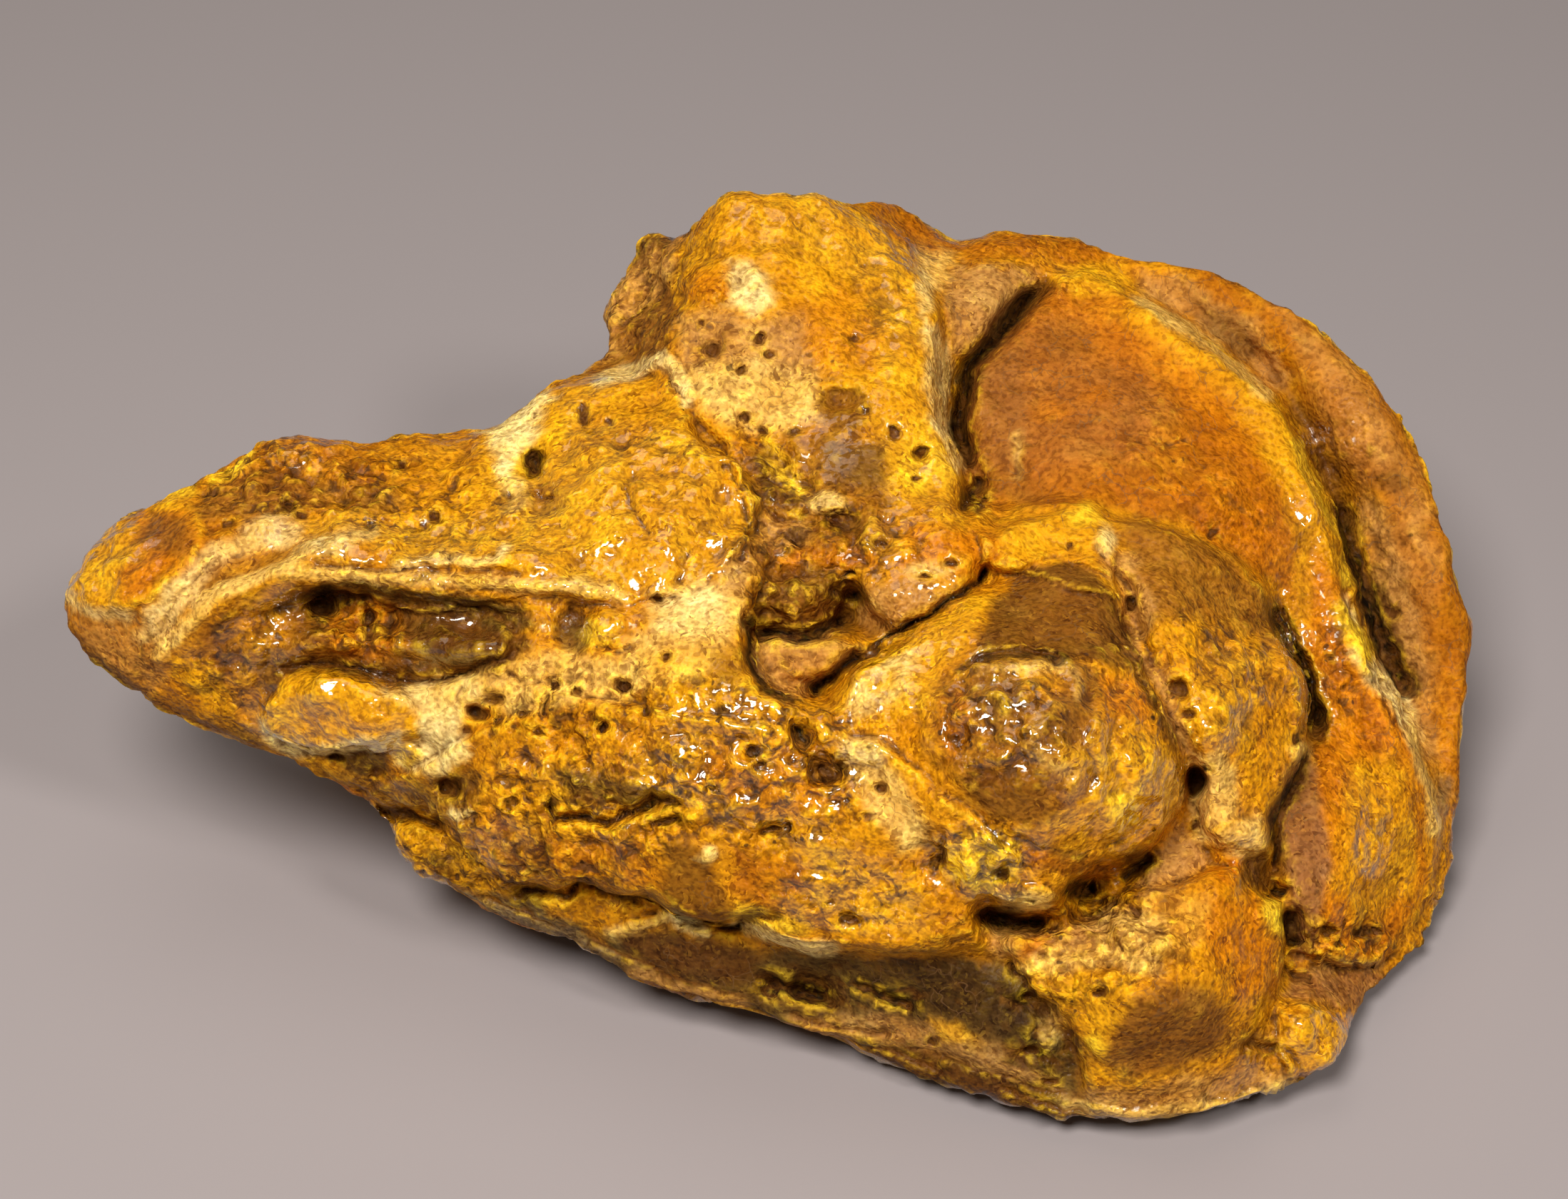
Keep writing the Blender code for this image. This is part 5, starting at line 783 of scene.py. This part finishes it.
# Where the front is broken into crumbs; elsewhere it is smoother.
CRUMBS = [
    Patch(-17, -17, 10, 4, 0.9), Patch(-2, -15, 8, 6, 1.0), Patch(3, 5, 8, 4, 0.8), Patch(-42, 10, 8, 3, 0.8),
    Patch(-33, 9, 8, 3, 0.5), Patch(17, -22, 6, 3, 0.8), Patch(28, -29, 6, 4, 1.0), Patch(22, -33, 4, 3, 0.8),
    Patch(-14, -9, 10, 4, 0.7), Patch(-26, -22, 7, 3, 0.6), Patch(1, -1, 5, 3, 0.8),
    Patch(-36, -2, 4, 2.6, 1.0), Patch(-46, -6, 4, 5, 0.6), Patch(22, -38, 3, 2, 0.7),
    Patch(50, -4, 4, 10, 0.3), Patch(-5, 20, 4, 4, 0.4), Patch(5, -25, 8, 3, 0.5), Patch(-15, -21, 8, 3, 0.6),
    Patch(17, 25, 5, 5, -1.0), Patch(-7, -24, 3.6, 3.6, -1.0), Patch(-8, -31, 7, 2.4, -1.0),
    Patch(23, 0, 5, 3.6, -0.8), Patch(10, -2, 8, 4, -0.5), Patch(34, -36, 5, 4, -0.8),
    Patch(36, -6, 5, 6, 0.3), Patch(-12, 26, 4, 6, 0.5), Patch(47, -29, 5, 2, 0.6), Patch(18, -11, 5, 5, 0.7),
    Patch(-1, 11, 4, 3, 0.6),
]

# Where the skin is smooth, without the sandy grain of the rest.
CALM = [
    Patch(4, 29, 8, 6, -0.8), Patch(9, 22, 5, 6, -0.6), Patch(27, 14, 13, 11, -0.8),
    Patch(38, 10, 8, 9, -0.7), Patch(50, 8, 7, 18, -0.8), Patch(42, 22, 10, 8, -0.7),
    Patch(-57, 4, 6, 6, -0.5), Patch(-29, -11, 3.4, 4.4, -0.8), Patch(-37, -9.5, 7, 3.4, -0.5),
    Patch(58, -8, 4, 14, -0.6),
]


# -------------------------------------------------------------------------------- working on the mesh


def smooth(x):
    """From 0 to 1 with level ends."""
    x = np.clip(x, 0.0, 1.0)
    return x * x * (3.0 - 2.0 * x)


def linear(tone):
    """A named tone as linear light."""
    shade = np.array(TONES[tone]) / 255.0
    return np.where(shade <= 0.04045, shade / 12.92, ((shade + 0.055) / 1.055) ** 2.4)


def fine_mesh(node):
    """An even mesh over the solid, its facets eased away."""
    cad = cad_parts[node]
    start = bpy.data.objects.new("amber_start", cad.data.copy())
    bpy.context.scene.collection.objects.link(start)
    even = start.modifiers.new("Even mesh", "REMESH")
    even.mode = "VOXEL"
    even.voxel_size = VOXEL * MM
    ease = start.modifiers.new("Ease facets", "SMOOTH")
    ease.factor = 0.5
    ease.iterations = FACET_SOFTENINGS
    mesh = bpy.data.meshes.new_from_object(start.evaluated_get(bpy.context.evaluated_depsgraph_get()))
    bpy.data.objects.remove(start)
    return mesh


def points_of(mesh):
    points = np.empty(len(mesh.vertices) * 3)
    mesh.vertices.foreach_get("co", points)
    return points.reshape(-1, 3) / MM


def set_points(mesh, points):
    mesh.vertices.foreach_set("co", (points * MM).ravel())
    mesh.update()


def normals_of(mesh):
    normals = np.empty(len(mesh.vertices) * 3)
    mesh.vertex_normals.foreach_get("vector", normals)
    return normals.reshape(-1, 3)


def to_sheet(points):
    """(u, v) of each point."""
    arm = points - SHEET_MIDDLE
    height = arm @ TOWARDS_EYE
    flat = np.column_stack([arm @ ACROSS, arm @ UP_SLOPE])
    return flat / (1.0 - height / EYE_DISTANCE)[:, None]


def to_eye(points):
    """The direction from each point to the eye point."""
    away = SHEET_MIDDLE + EYE_DISTANCE * TOWARDS_EYE - points
    return away / np.linalg.norm(away, axis=1)[:, None]


def fractal(points, size, seed, octaves=3):
    """Soft noise of about -1 to 1 with features of the given size."""
    shift = Vector((seed * 17.3, seed * 5.1, seed * 9.7))
    return np.array([
        noise.fractal(Vector(point) / size + shift, 0.9, 2.1, octaves, noise_basis="PERLIN_ORIGINAL")
        for point in points
    ])


def wandering(uv, points, reach, size, seed, octaves):
    """(u, v) places moved about by soft noise."""
    return uv + reach * np.column_stack([fractal(points, size, seed + axis, octaves) for axis in range(2)])


def cells(points, size, seed):
    """Distances to the nearest and second nearest of many scattered points, in cells of the given size."""
    shift = Vector((seed * 3.7, seed * 11.9, seed * 7.3))
    found = [noise.voronoi(Vector(point) / size + shift)[0][:2] for point in points]
    return np.array(found).T


def path_distance(uv, path, closed=False):
    """Each point's distance to a path, its share of the way along, and its side: 1 if left, -1 if right."""
    points = np.array(path, float)
    if closed:
        points = np.vstack([points, points[:1]])
    lengths = np.sqrt(((points[1:] - points[:-1]) ** 2).sum(1))
    starts = np.concatenate([[0.0], np.cumsum(lengths)])
    nearest = np.full(len(uv), np.inf)
    along = np.zeros(len(uv))
    side = np.ones(len(uv))
    for a, b, start, length in zip(points[:-1], points[1:], starts, lengths):
        arm, span = uv - a, b - a
        t = np.clip((arm @ span) / length**2, 0.0, 1.0)
        distance = np.sqrt(((arm - t[:, None] * span) ** 2).sum(1))
        closer = distance < nearest
        nearest[closer] = distance[closer]
        along[closer] = ((start + t * length) / starts[-1])[closer]
        side[closer] = np.sign(span[0] * arm[:, 1] - span[1] * arm[:, 0])[closer]
    return nearest, along, side


def inside_distance(uv, edge):
    """Each point's distance to a closed edge, positive inside it."""
    points = np.array(edge, float)
    inside = np.zeros(len(uv), bool)
    for a, b in zip(points, np.roll(points, -1, axis=0)):
        spans = (a[1] > uv[:, 1]) != (b[1] > uv[:, 1])
        rise = b[1] - a[1] if b[1] != a[1] else 1e-9
        inside ^= spans & (uv[:, 0] < a[0] + (uv[:, 1] - a[1]) * (b[0] - a[0]) / rise)
    distance = path_distance(uv, edge, closed=True)[0]
    return np.where(inside, distance, -distance)


def near(uv, places, margin):
    """Which points lie in the box round some places, widened by a margin."""
    places = np.array(places, float).reshape(-1, 2)
    low, high = places.min(0) - margin, places.max(0) + margin
    return np.flatnonzero(((uv > low) & (uv < high)).all(1))


def about_path(uv, path, margin):
    """Which points are about a path, with what path_distance says of each."""
    at = near(uv, path, margin)
    return at, *path_distance(uv[at], path)


def about_spot(uv, spot):
    """Which points are about a spot, and how far out each lies, in the spot's own radii."""
    at = near(uv, [(spot.u, spot.v)], SPOT_REACH * max(spot.across, spot.up))
    return at, np.hypot((uv[at, 0] - spot.u) / spot.across, (uv[at, 1] - spot.v) / spot.up)


def tapered(along, share):
    """From 0 at both ends of a path to 1 past this share of its length."""
    return smooth(along / share) * smooth((1.0 - along) / share)


def front_relief(uv, whole):
    """How far the front's surface rises towards the eye at each point, for its cuts, crests, edges and pits.

    whole is from 0, where edges have crumbled away, to 1.
    """
    rise = np.zeros(len(uv))
    for cut in CUTS:
        at, distance, along, _ = about_path(uv, cut.path, cut.width)
        ends = 0.3 + 0.7 * tapered(along, 0.1)
        rise[at] -= cut.depth * ends * np.clip(1.0 - distance / cut.width, 0.0, 1.0) ** 0.8
    for rope in ROPES:
        at, distance, along, _ = about_path(uv, rope.path, rope.width)
        round_top = np.sqrt(np.clip(1.0 - (distance / rope.width) ** 2, 0.0, 1.0))
        rise[at] += rope.height * tapered(along, 0.12) * round_top
    for step in STEPS:
        at, distance, along, side = about_path(uv, step.path, 3.0 * step.reach)
        crisp = smooth(distance / 0.25) * np.exp(-distance / step.reach)
        rise[at] += step.rise * side * tapered(along, 0.1) * whole[at] * crisp
    for edge in EDGES:
        at = near(uv, edge.outline, 2.0 * edge.reach)
        inside = inside_distance(uv[at], edge.outline)
        upper = smooth(inside / 0.3) * np.exp(-np.clip(inside, 0.0, None) / edge.reach)
        lower = smooth(-inside / 0.3) * np.exp(np.clip(inside, None, 0.0) / (0.5 * edge.reach))
        rise[at] += edge.rise * whole[at] * (upper - lower)
    for pit in PITS:
        at, away = about_spot(uv, pit)
        rise[at] -= pit.depth * smooth((1.35 - away) / 0.7)
    for nub in NUBS:
        at, away = about_spot(uv, nub)
        rise[at] += nub.height * smooth((1.35 - away) / 0.7)
    return rise


def eased(mesh, values, rounds):
    """Values at the points, averaged with their neighbours' again and again."""
    edges = np.empty(len(mesh.edges) * 2, np.int32)
    mesh.edges.foreach_get("vertices", edges)
    a, b = edges.reshape(-1, 2).T
    count = len(values)
    neighbours = np.bincount(a, minlength=count) + np.bincount(b, minlength=count)
    columns = [values[:, axis] for axis in range(values.shape[1])]
    for _ in range(rounds):
        for axis, column in enumerate(columns):
            around = np.bincount(a, column[b], count) + np.bincount(b, column[a], count)
            columns[axis] = 0.5 * (column + around / neighbours)
    return np.column_stack(columns)


def hollowness(mesh, points, normals, rounds):
    """How far each point lies below the surface round it, in millimetres: positive in hollows."""
    return ((eased(mesh, points, rounds) - points) * normals).sum(1)


def on_skin(patches, uv, front, hidden, lowest):
    """A property of the skin: patchy at the front, and drifting on the hidden side."""
    amounts = np.zeros(len(uv))
    for patch in patches:
        at, away = about_spot(uv, patch)
        amounts[at] += patch.amount * smooth((1.4 - away) / 0.8)
    return np.clip(amounts * front + hidden * (1.0 - 0.4 * front), lowest, 1.0)


def crumb_relief(points, size, seed, height):
    """Crumbs with creases between them."""
    nearest, second = cells(points, size, seed)
    return height * (smooth((second - nearest) * 2.2) - 0.5 - 0.4 * nearest)


def skin_relief(points, gloss, crumbs):
    """The roughness of the whole skin: waves, shell-like scoops where it is glossy, and crumbs."""
    bent = points + 0.5 * np.column_stack([fractal(points, 2.2, 24 + axis, 2) for axis in range(3)])
    waves = 0.25 * fractal(points, 5.0, 31) + 0.2 * fractal(points, 2.4, 32)
    waves += 0.06 * fractal(points, 1.1, 33, 2)
    scoops = 0.9 * (cells(bent, 2.7, 4)[0] ** 2 - 0.15)
    blocks = crumb_relief(bent, 3.4, 1, 0.40) + crumb_relief(bent, 1.7, 2, 0.16)
    grit = 0.55 * fractal(bent, 3.6, 34) + 0.30 * fractal(points, 1.7, 35)
    grit += 0.1 * fractal(points, 0.8, 39, 2)
    return waves + np.clip(gloss, 0.0, 1.0) * scoops + crumbs * (blocks + grit)


def hidden_relief(points):
    """The hidden side's ledges, in patches, its slow swells, and its bored holes."""
    patch = smooth(2.2 * fractal(points, 9.0, 36) + 0.2)
    layers = (points[:, 2] + 3.0 * fractal(points, 14.0, 37) + 0.2 * points[:, 0]) / 2.6
    up_layer = layers - np.floor(layers)
    ledge = smooth(up_layer * 2.2) - 0.5 * up_layer
    bore, _ = cells(points, 4.2, 3)
    return 0.45 * ledge * patch + 0.25 * fractal(points, 8.0, 38) - 1.2 * smooth((0.2 - bore) * 9.0)


def shape_crust(mesh):
    """Cuts the front's detail and roughens the whole surface.

    Returns what the colours need of each point: its share in the front, its gloss and crumbs, and the place on
    the sheet that its detail was taken from.
    """
    points = points_of(mesh)
    normals = normals_of(mesh)
    eye = to_eye(points)
    facing = (normals * eye).sum(1)
    front = smooth((facing + 0.02) / 0.16)
    uv = to_sheet(points)
    drawn = wandering(uv, points, RELIEF_WANDER, RELIEF_WANDER_SIZE, 21, 2)
    rise = front_relief(drawn, smooth(0.75 + 1.5 * fractal(points, 5.0, 23, 2)))
    gloss = on_skin(GLOSS, uv, front, 0.25 + 0.9 * fractal(points, 7.0, 41, 2), -1.0)
    crumbs = on_skin(CRUMBS, uv, front, 0.3 + 0.6 * fractal(points, 9.0, 42, 2), 0.0)
    relief = skin_relief(points, gloss, crumbs) + (1.0 - front) * hidden_relief(points)
    points = points + eye * (rise * front)[:, None] + normals * relief[:, None]
    points[:, 2] = np.maximum(points[:, 2], 0.0)
    set_points(mesh, points)
    return front, gloss, crumbs, drawn


def blended(colours, at, tone, share):
    colours[at] += (linear(tone) - colours[at]) * share[:, None]


def front_colours(uv, drawn):
    """The front's colours: washes with soft ragged edges, then lines and marks where the relief has them, then
    painted shade near black in the deeper cuts and pits.
    """
    colours = np.tile(linear("honey"), (len(uv), 1))
    for wash in WASHES:
        at = near(uv, wash.edge, wash.feather)
        inside = inside_distance(uv[at], wash.edge)
        blended(colours, at, wash.tone, wash.strength * smooth(0.5 + 0.5 * inside / wash.feather))
    for stroke in STROKES:
        at, distance, _, _ = about_path(drawn, stroke.path, 1.6 * stroke.width)
        blended(colours, at, stroke.tone, stroke.strength * smooth(1.5 - distance / stroke.width))
    for dab in DABS:
        at, away = about_spot(drawn, dab)
        blended(colours, at, dab.tone, dab.strength * smooth((1.5 - away) / 0.9))
    # painted shade: the deeper cuts darken towards black along their bottoms
    for cut in CUTS:
        at, distance, along, _ = about_path(drawn, cut.path, cut.width)
        cut_shade = np.clip((cut.depth - 0.8) / 1.2, 0.0, 0.97) * tapered(along, 0.08)
        blended(colours, at, "black", cut_shade * smooth(1.6 - 2.2 * distance / cut.width))
    # painted shade: deep, narrow pits darken towards black inside
    for pit in PITS:
        at, away = about_spot(drawn, pit)
        bored = np.clip(1.6 * pit.depth / min(pit.across, pit.up) - 1.6, 0.0, 0.95)
        blended(colours, at, "black", bored * smooth((1.15 - away) / 0.45))
    return colours


def hidden_colours(points):
    """The hidden side's colours, in drifts of the same tones, and darker olive towards the bottom."""
    colours = np.tile(linear("honey"), (len(points), 1))
    everywhere = np.arange(len(points))
    for tone, size, seed, bias, strength in HIDDEN_DRIFTS:
        share = strength * smooth(2.6 * fractal(points, size, seed) + bias + 0.35)
        blended(colours, everywhere, tone, share)
    # darker olive towards the bottom
    low = smooth((UNDERSIDE_TOP - points[:, 2] + 3.0 * fractal(points, 9.0, 58)) / 7.0)
    blended(colours, everywhere, "olive", 0.6 * low)
    return colours


def add_attribute(mesh, name, kind, key, values):
    made = mesh.attributes.new(name, kind, "POINT")
    made.data.foreach_set(key, values.ravel())


def paint(mesh, front, gloss, crumbs, drawn):
    """Colours by place, with painted shade (darker and browner) in hollows and a painted highlight (paler) on
    crests, and what else the material reads.
    """
    points, normals = points_of(mesh), normals_of(mesh)
    uv = to_sheet(points)
    ragged = wandering(uv, points, COLOUR_WANDER, COLOUR_WANDER_SIZE, 61, 4)
    colours = hidden_colours(points)
    at = np.flatnonzero(front > 0.01)
    share = smooth((front[at] - 0.15) / 0.5)[:, None]
    colours[at] = colours[at] * (1.0 - share) + front_colours(ragged[at], drawn[at]) * share
    everywhere = np.arange(len(points))
    hollows = {rounds: hollowness(mesh, points, normals, rounds) for rounds in (FINE_HOLLOWS, WIDE_HOLLOWS)}
    # painted shade darkens the hollows, and a painted highlight lightens the crests
    for tone, rounds, start, span, strength in HOLLOW_SHADE_AND_CREST_HIGHLIGHT:
        blended(colours, everywhere, tone, strength * smooth((hollows[rounds] - start) / span))
    grit = on_skin(CALM, uv, front, 0.0, -1.0) + 1.0
    shine = np.clip(gloss, 0.0, 1.0) * (1.0 - smooth((hollows[WIDE_HOLLOWS] - 0.2) / 0.6))
    crust = np.clip(-gloss, 0.0, 1.0)
    add_attribute(mesh, "tone", "FLOAT_COLOR", "color", np.column_stack([colours, np.ones(len(colours))]))
    add_attribute(mesh, "sand", "FLOAT", "value", grit)
    add_attribute(mesh, "skin", "FLOAT_VECTOR", "vector", np.column_stack([shine, crust, crumbs]))


# -------------------------------------------------------------------------------- the material


class Graph:
    """Shorthand for building a material's nodes."""

    def __init__(self, material):
        material.use_nodes = True
        self.nodes = material.node_tree.nodes
        self.links = material.node_tree.links
        self.shader = self.nodes["Principled BSDF"].inputs

    def put(self, socket, value):
        if isinstance(value, bpy.types.NodeSocket):
            self.links.new(value, socket)
        else:
            socket.default_value = value

    def node(self, kind, settings=None, **inputs):
        made = self.nodes.new("ShaderNode" + kind)
        for name, value in (settings or {}).items():
            setattr(made, name, value)
        for name, value in inputs.items():
            self.put(made.inputs[name], value)
        return made

    def fed(self, kind, settings, *values):
        """A node with these values in its first inputs."""
        made = self.node(kind, settings)
        for socket, value in zip(made.inputs, values):
            self.put(socket, value)
        return made

    def times(self, a, b):
        return self.fed("Math", {"operation": "MULTIPLY"}, a, b).outputs[0]

    def plus(self, a, b, clamp=False):
        return self.fed("Math", {"operation": "ADD", "use_clamp": clamp}, a, b).outputs[0]

    def vector(self, operation, *values):
        return self.fed("VectorMath", {"operation": operation}, *values).outputs

    def ramp(self, value, low, high, out_low=0.0, out_high=1.0):
        level_ends = {"interpolation_type": "SMOOTHSTEP"}
        return self.fed("MapRange", level_ends, value, low, high, out_low, out_high).outputs[0]

    def mix(self, share, a, b, blend="MIX"):
        made = self.node("Mix", {"data_type": "RGBA", "blend_type": blend})
        for place, value in ((0, share), (6, a), (7, b)):
            self.put(made.inputs[place], value)
        return made.outputs[2]

    def dyed(self, colour, factor):
        return self.mix(1.0, colour, factor, "MULTIPLY")

    def attribute(self, name, output):
        return self.node("Attribute", {"attribute_name": name}).outputs[output]

    def noise(self, place, size, detail, roughness=0.55):
        made = self.node("TexNoise", Vector=place, Scale=1.0 / size, Detail=detail, Roughness=roughness)
        return made.outputs["Fac"]

    def cells(self, place, scale, feature="F1"):
        return self.node("TexVoronoi", {"feature": feature}, Vector=place, Scale=scale).outputs

    def channel(self, vector, axis):
        return self.node("SeparateXYZ", Vector=vector).outputs[axis]

    def facets(self, place, cell):
        """The height of a skin broken into these cells, each tilted its own way."""
        across = self.vector("SUBTRACT", place, cell["Position"])[0]
        tilt = self.vector("MULTIPLY_ADD", cell["Color"], (2.0, 2.0, 2.0), (-1.0, -1.0, -1.0))[0]
        return self.vector("DOT_PRODUCT", across, tilt)["Value"]

    def bump(self, height):
        return self.node("Bump", Strength=1.0, Distance=MM, Height=height).outputs["Normal"]


Skin = namedtuple("Skin", "gloss crust crumbs sandy drift blotch swell grain place crumb")


def skin_patterns(g):
    """What the skin is like at each place, and the patterns that its colour and its relief share."""
    skin = g.attribute("skin", "Vector")
    place = g.node("TexCoord").outputs["Object"]
    place = g.node("VectorMath", {"operation": "SCALE"}, Vector=place, Scale=1.0 / MM).outputs[0]
    wander = g.node("TexNoise", Vector=place, Scale=WANDERS_PER_MM, Detail=1.0).outputs["Color"]
    bent = g.vector("MULTIPLY_ADD", wander, (WANDER_REACH,) * 3, place)[0]
    return Skin(
        gloss=g.channel(skin, 0), crust=g.channel(skin, 1), crumbs=g.channel(skin, 2),
        sandy=g.attribute("sand", "Fac"),
        drift=g.noise(place, DRIFT_SIZE, 3.0),
        blotch=g.noise(place, BLOTCH_SIZE, 3.0, 0.66),
        swell=g.noise(place, SWELL_SIZE, 1.0, 0.4),
        grain=g.noise(place, GRAIN_SIZE, 1.0, 0.5),
        place=bent, crumb=g.cells(bent, CRUMBS_PER_MM),
    )


def amber_colour(g, skin):
    """The painted tone, broken up by drifts, crumbs of many shades, grains, cracks and pores, with painted
    shade in the creases between crumbs and in the grain's low places, and a painted highlight on its high
    places.
    """
    tone = g.attribute("tone", "Color")
    colour = g.mix(g.ramp(skin.drift, 0.46, 0.62), tone, g.dyed(tone, DEEPER))
    colour = g.mix(g.ramp(skin.drift, 0.46, 0.34, 0.0, 0.8), colour, g.dyed(colour, PALER))
    browned = g.dyed(colour, BROWNER)

    # crumbs and blotches, browner or filmed over with clear gold, and a fine grain with painted shade in its
    # low places and a painted highlight on its high places
    amount = g.plus(g.times(skin.crumbs, 0.7), 0.12)
    shade = g.channel(skin.crumb["Color"], 0)
    colour = g.mix(g.times(g.ramp(shade, 0.4, 0.1, 0.0, 0.5), amount), colour, browned)
    colour = g.mix(g.times(g.ramp(skin.blotch, 0.45, 0.36), amount), colour, browned)
    film = g.mix(0.04, g.dyed(colour, FILMED), FILM_GOLD)
    colour = g.mix(g.times(g.ramp(shade, 0.72, 0.95, 0.0, 0.5), amount), colour, film)
    colour = g.mix(g.times(g.ramp(skin.blotch, 0.55, 0.62), amount), colour, film)
    # painted shade in the grain's low places and a painted highlight on its high places, the same grain as the
    # bump
    colour = g.mix(g.ramp(skin.grain, 0.48, 0.36, 0.0, 0.5), colour, browned)
    colour = g.mix(g.ramp(skin.grain, 0.54, 0.66, 0.0, 0.55), colour, g.dyed(colour, GRAIN_LIT))

    # sandy grains, each of its own shade
    hue = g.cells(skin.place, 1.0 / SAND_GRAIN)["Color"]
    rough_spots = g.times(g.ramp(skin.blotch, 0.58, 0.42, 0.1, 1.0), skin.sandy)
    dark_grains = g.ramp(g.channel(hue, 0), 0.22, 0.12, 0.0, 0.8)
    bright_grains = g.ramp(g.channel(hue, 1), 0.8, 0.9, 0.0, 0.75)
    colour = g.mix(g.times(dark_grains, rough_spots), colour, browned)
    colour = g.mix(g.times(bright_grains, rough_spots), colour, film)

    # painted shade: dark creases between the crumbs, in the low places of their relief
    crease_shade = g.times(g.ramp(skin.crumb["Distance"], 0.56, 0.7), g.ramp(skin.crumbs, 0.1, 0.7))
    crease_shade = g.times(crease_shade, g.ramp(skin.blotch, 0.54, 0.44))
    crease_shade = g.times(crease_shade, g.ramp(skin.crust, 0.1, 0.6, 1.0, 0.2))
    colour = g.mix(g.times(crease_shade, 0.8), colour, CREASE_SHADE_BROWN)

    # thin cracks in the chalky crust
    plates = g.cells(skin.place, CRUST_PLATES_PER_MM, "DISTANCE_TO_EDGE")
    crack = g.times(g.ramp(plates["Distance"], 0.03, 0.0), g.ramp(skin.crust, 0.1, 0.6))
    crack = g.times(crack, g.ramp(skin.drift, 0.45, 0.6))
    colour = g.mix(g.times(crack, 0.6), colour, CRACK_BROWN)

    # tiny pores, in one cell of a few
    chosen = g.ramp(g.channel(skin.crumb["Color"], 2), 0.86, 0.88)
    pore = g.times(g.ramp(skin.crumb["Distance"], 0.26, 0.15), chosen)
    pore = g.times(pore, g.ramp(skin.crumbs, 0.1, 0.5))
    return g.mix(g.times(pore, 0.8), colour, PORE_BROWN)


def amber_normals(g, skin):
    """Relief finer than the mesh: of the skin, with its grains and facets, and of the smoother wet film."""
    facets = g.facets(skin.place, skin.crumb)
    height = g.times(skin.grain, g.ramp(skin.crust, 0.0, 1.0, 0.28, 0.14))
    height = g.plus(height, g.times(skin.swell, 0.4))
    height = g.plus(height, g.times(skin.blotch, g.ramp(skin.crumbs, 0.0, 1.0, 0.1, 0.4)))
    broken = g.plus(g.times(skin.gloss, 0.2), g.times(skin.crumbs, 0.35))
    height = g.plus(height, g.times(facets, broken))
    height = g.plus(height, g.times(skin.crumb["Distance"], g.times(skin.crumbs, -0.25)))
    water = g.plus(g.times(skin.swell, 0.36), g.times(facets, 0.08))
    return g.bump(height), g.bump(water)


def amber_material():
    material = bpy.data.materials.new("amber_crust")
    g = Graph(material)
    skin = skin_patterns(g)
    normal, wet_normal = amber_normals(g, skin)
    rough = g.plus(g.ramp(skin.gloss, 0.0, 0.9, 0.42, 0.14), g.times(skin.crust, 0.3))
    g.put(g.shader["Base Color"], amber_colour(g, skin))
    g.put(g.shader["Roughness"], g.plus(rough, g.ramp(skin.blotch, 0.4, 0.6, 0.12, -0.08), clamp=True))
    g.put(g.shader["Normal"], normal)
    g.put(g.shader["Coat Normal"], wet_normal)
    g.put(g.shader["Coat Weight"], g.ramp(skin.gloss, 0.1, 0.5, 0.0, 1.0))
    for name, value in AMBER_SURFACE.items():
        g.shader[name].default_value = value
    return material


def amber_lump():
    mesh = fine_mesh(NODE)
    front, gloss, crumbs, drawn = shape_crust(mesh)
    paint(mesh, front, gloss, crumbs, drawn)
    lump = bpy.data.objects.new("amber_lump", mesh)
    bpy.context.scene.collection.objects.link(lump)
    lump.data.materials.clear()
    lump.data.materials.append(amber_material())
    triangles = 2 * len(mesh.polygons)
    if triangles > MOST_TRIANGLES:
        thin = lump.modifiers.new("Fewer triangles", "DECIMATE")
        thin.ratio = MOST_TRIANGLES / triangles
        thinned = bpy.data.meshes.new_from_object(
            lump.evaluated_get(bpy.context.evaluated_depsgraph_get())
        )
        lump.modifiers.clear()
        lump.data = thinned
    lump.data.shade_smooth()
    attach(lump, "root")
    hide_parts(NODE)


# -------------------------------------------------------------------------------- floor, light, camera


def floor():
    bpy.ops.mesh.primitive_plane_add(size=FLOOR_WIDTH)
    plane = bpy.context.object
    plane.name = "floor"
    material = bpy.data.materials.new("floor_grey")
    shader = Graph(material).shader
    for name, value in FLOOR_SURFACE.items():
        shader[name].default_value = value
    plane.data.materials.append(material)


def lights():
    for lamp in LAMPS:
        light = bpy.data.lights.new(lamp.name, "AREA")
        light.shape = "DISK"
        light.size = lamp.size
        light.energy = lamp.watts
        light.color = lamp.colour
        holder = bpy.data.objects.new(lamp.name, light)
        holder.location = lamp.place
        holder.rotation_euler = (Vector(LIT_PLACE) - Vector(lamp.place)).to_track_quat("-Z", "Y").to_euler()
        bpy.context.scene.collection.objects.link(holder)
    world = bpy.data.worlds.new("room")
    world.use_nodes = True
    glow = world.node_tree.nodes["Background"].inputs
    glow["Color"].default_value = ROOM_COLOUR
    glow["Strength"].default_value = ROOM_STRENGTH
    bpy.context.scene.world = world


def camera():
    data = bpy.data.cameras.new("camera")
    data.sensor_width = SENSOR_WIDTH
    data.lens = SENSOR_WIDTH * EYE_DISTANCE / VIEW_WIDTH
    data.clip_start = NEAREST_SEEN
    eye = bpy.data.objects.new("camera", data)
    eye.location = (SHEET_MIDDLE + EYE_DISTANCE * TOWARDS_EYE) * MM
    eye.rotation_euler = (math.pi / 2 - SHEET_TILT, 0.0, 0.0)
    bpy.context.scene.collection.objects.link(eye)
    bpy.context.scene.camera = eye


camera()
lights()
floor()
amber_lump()
bpy.context.scene.view_settings.view_transform = "Standard"
bpy.context.view_layer.update()
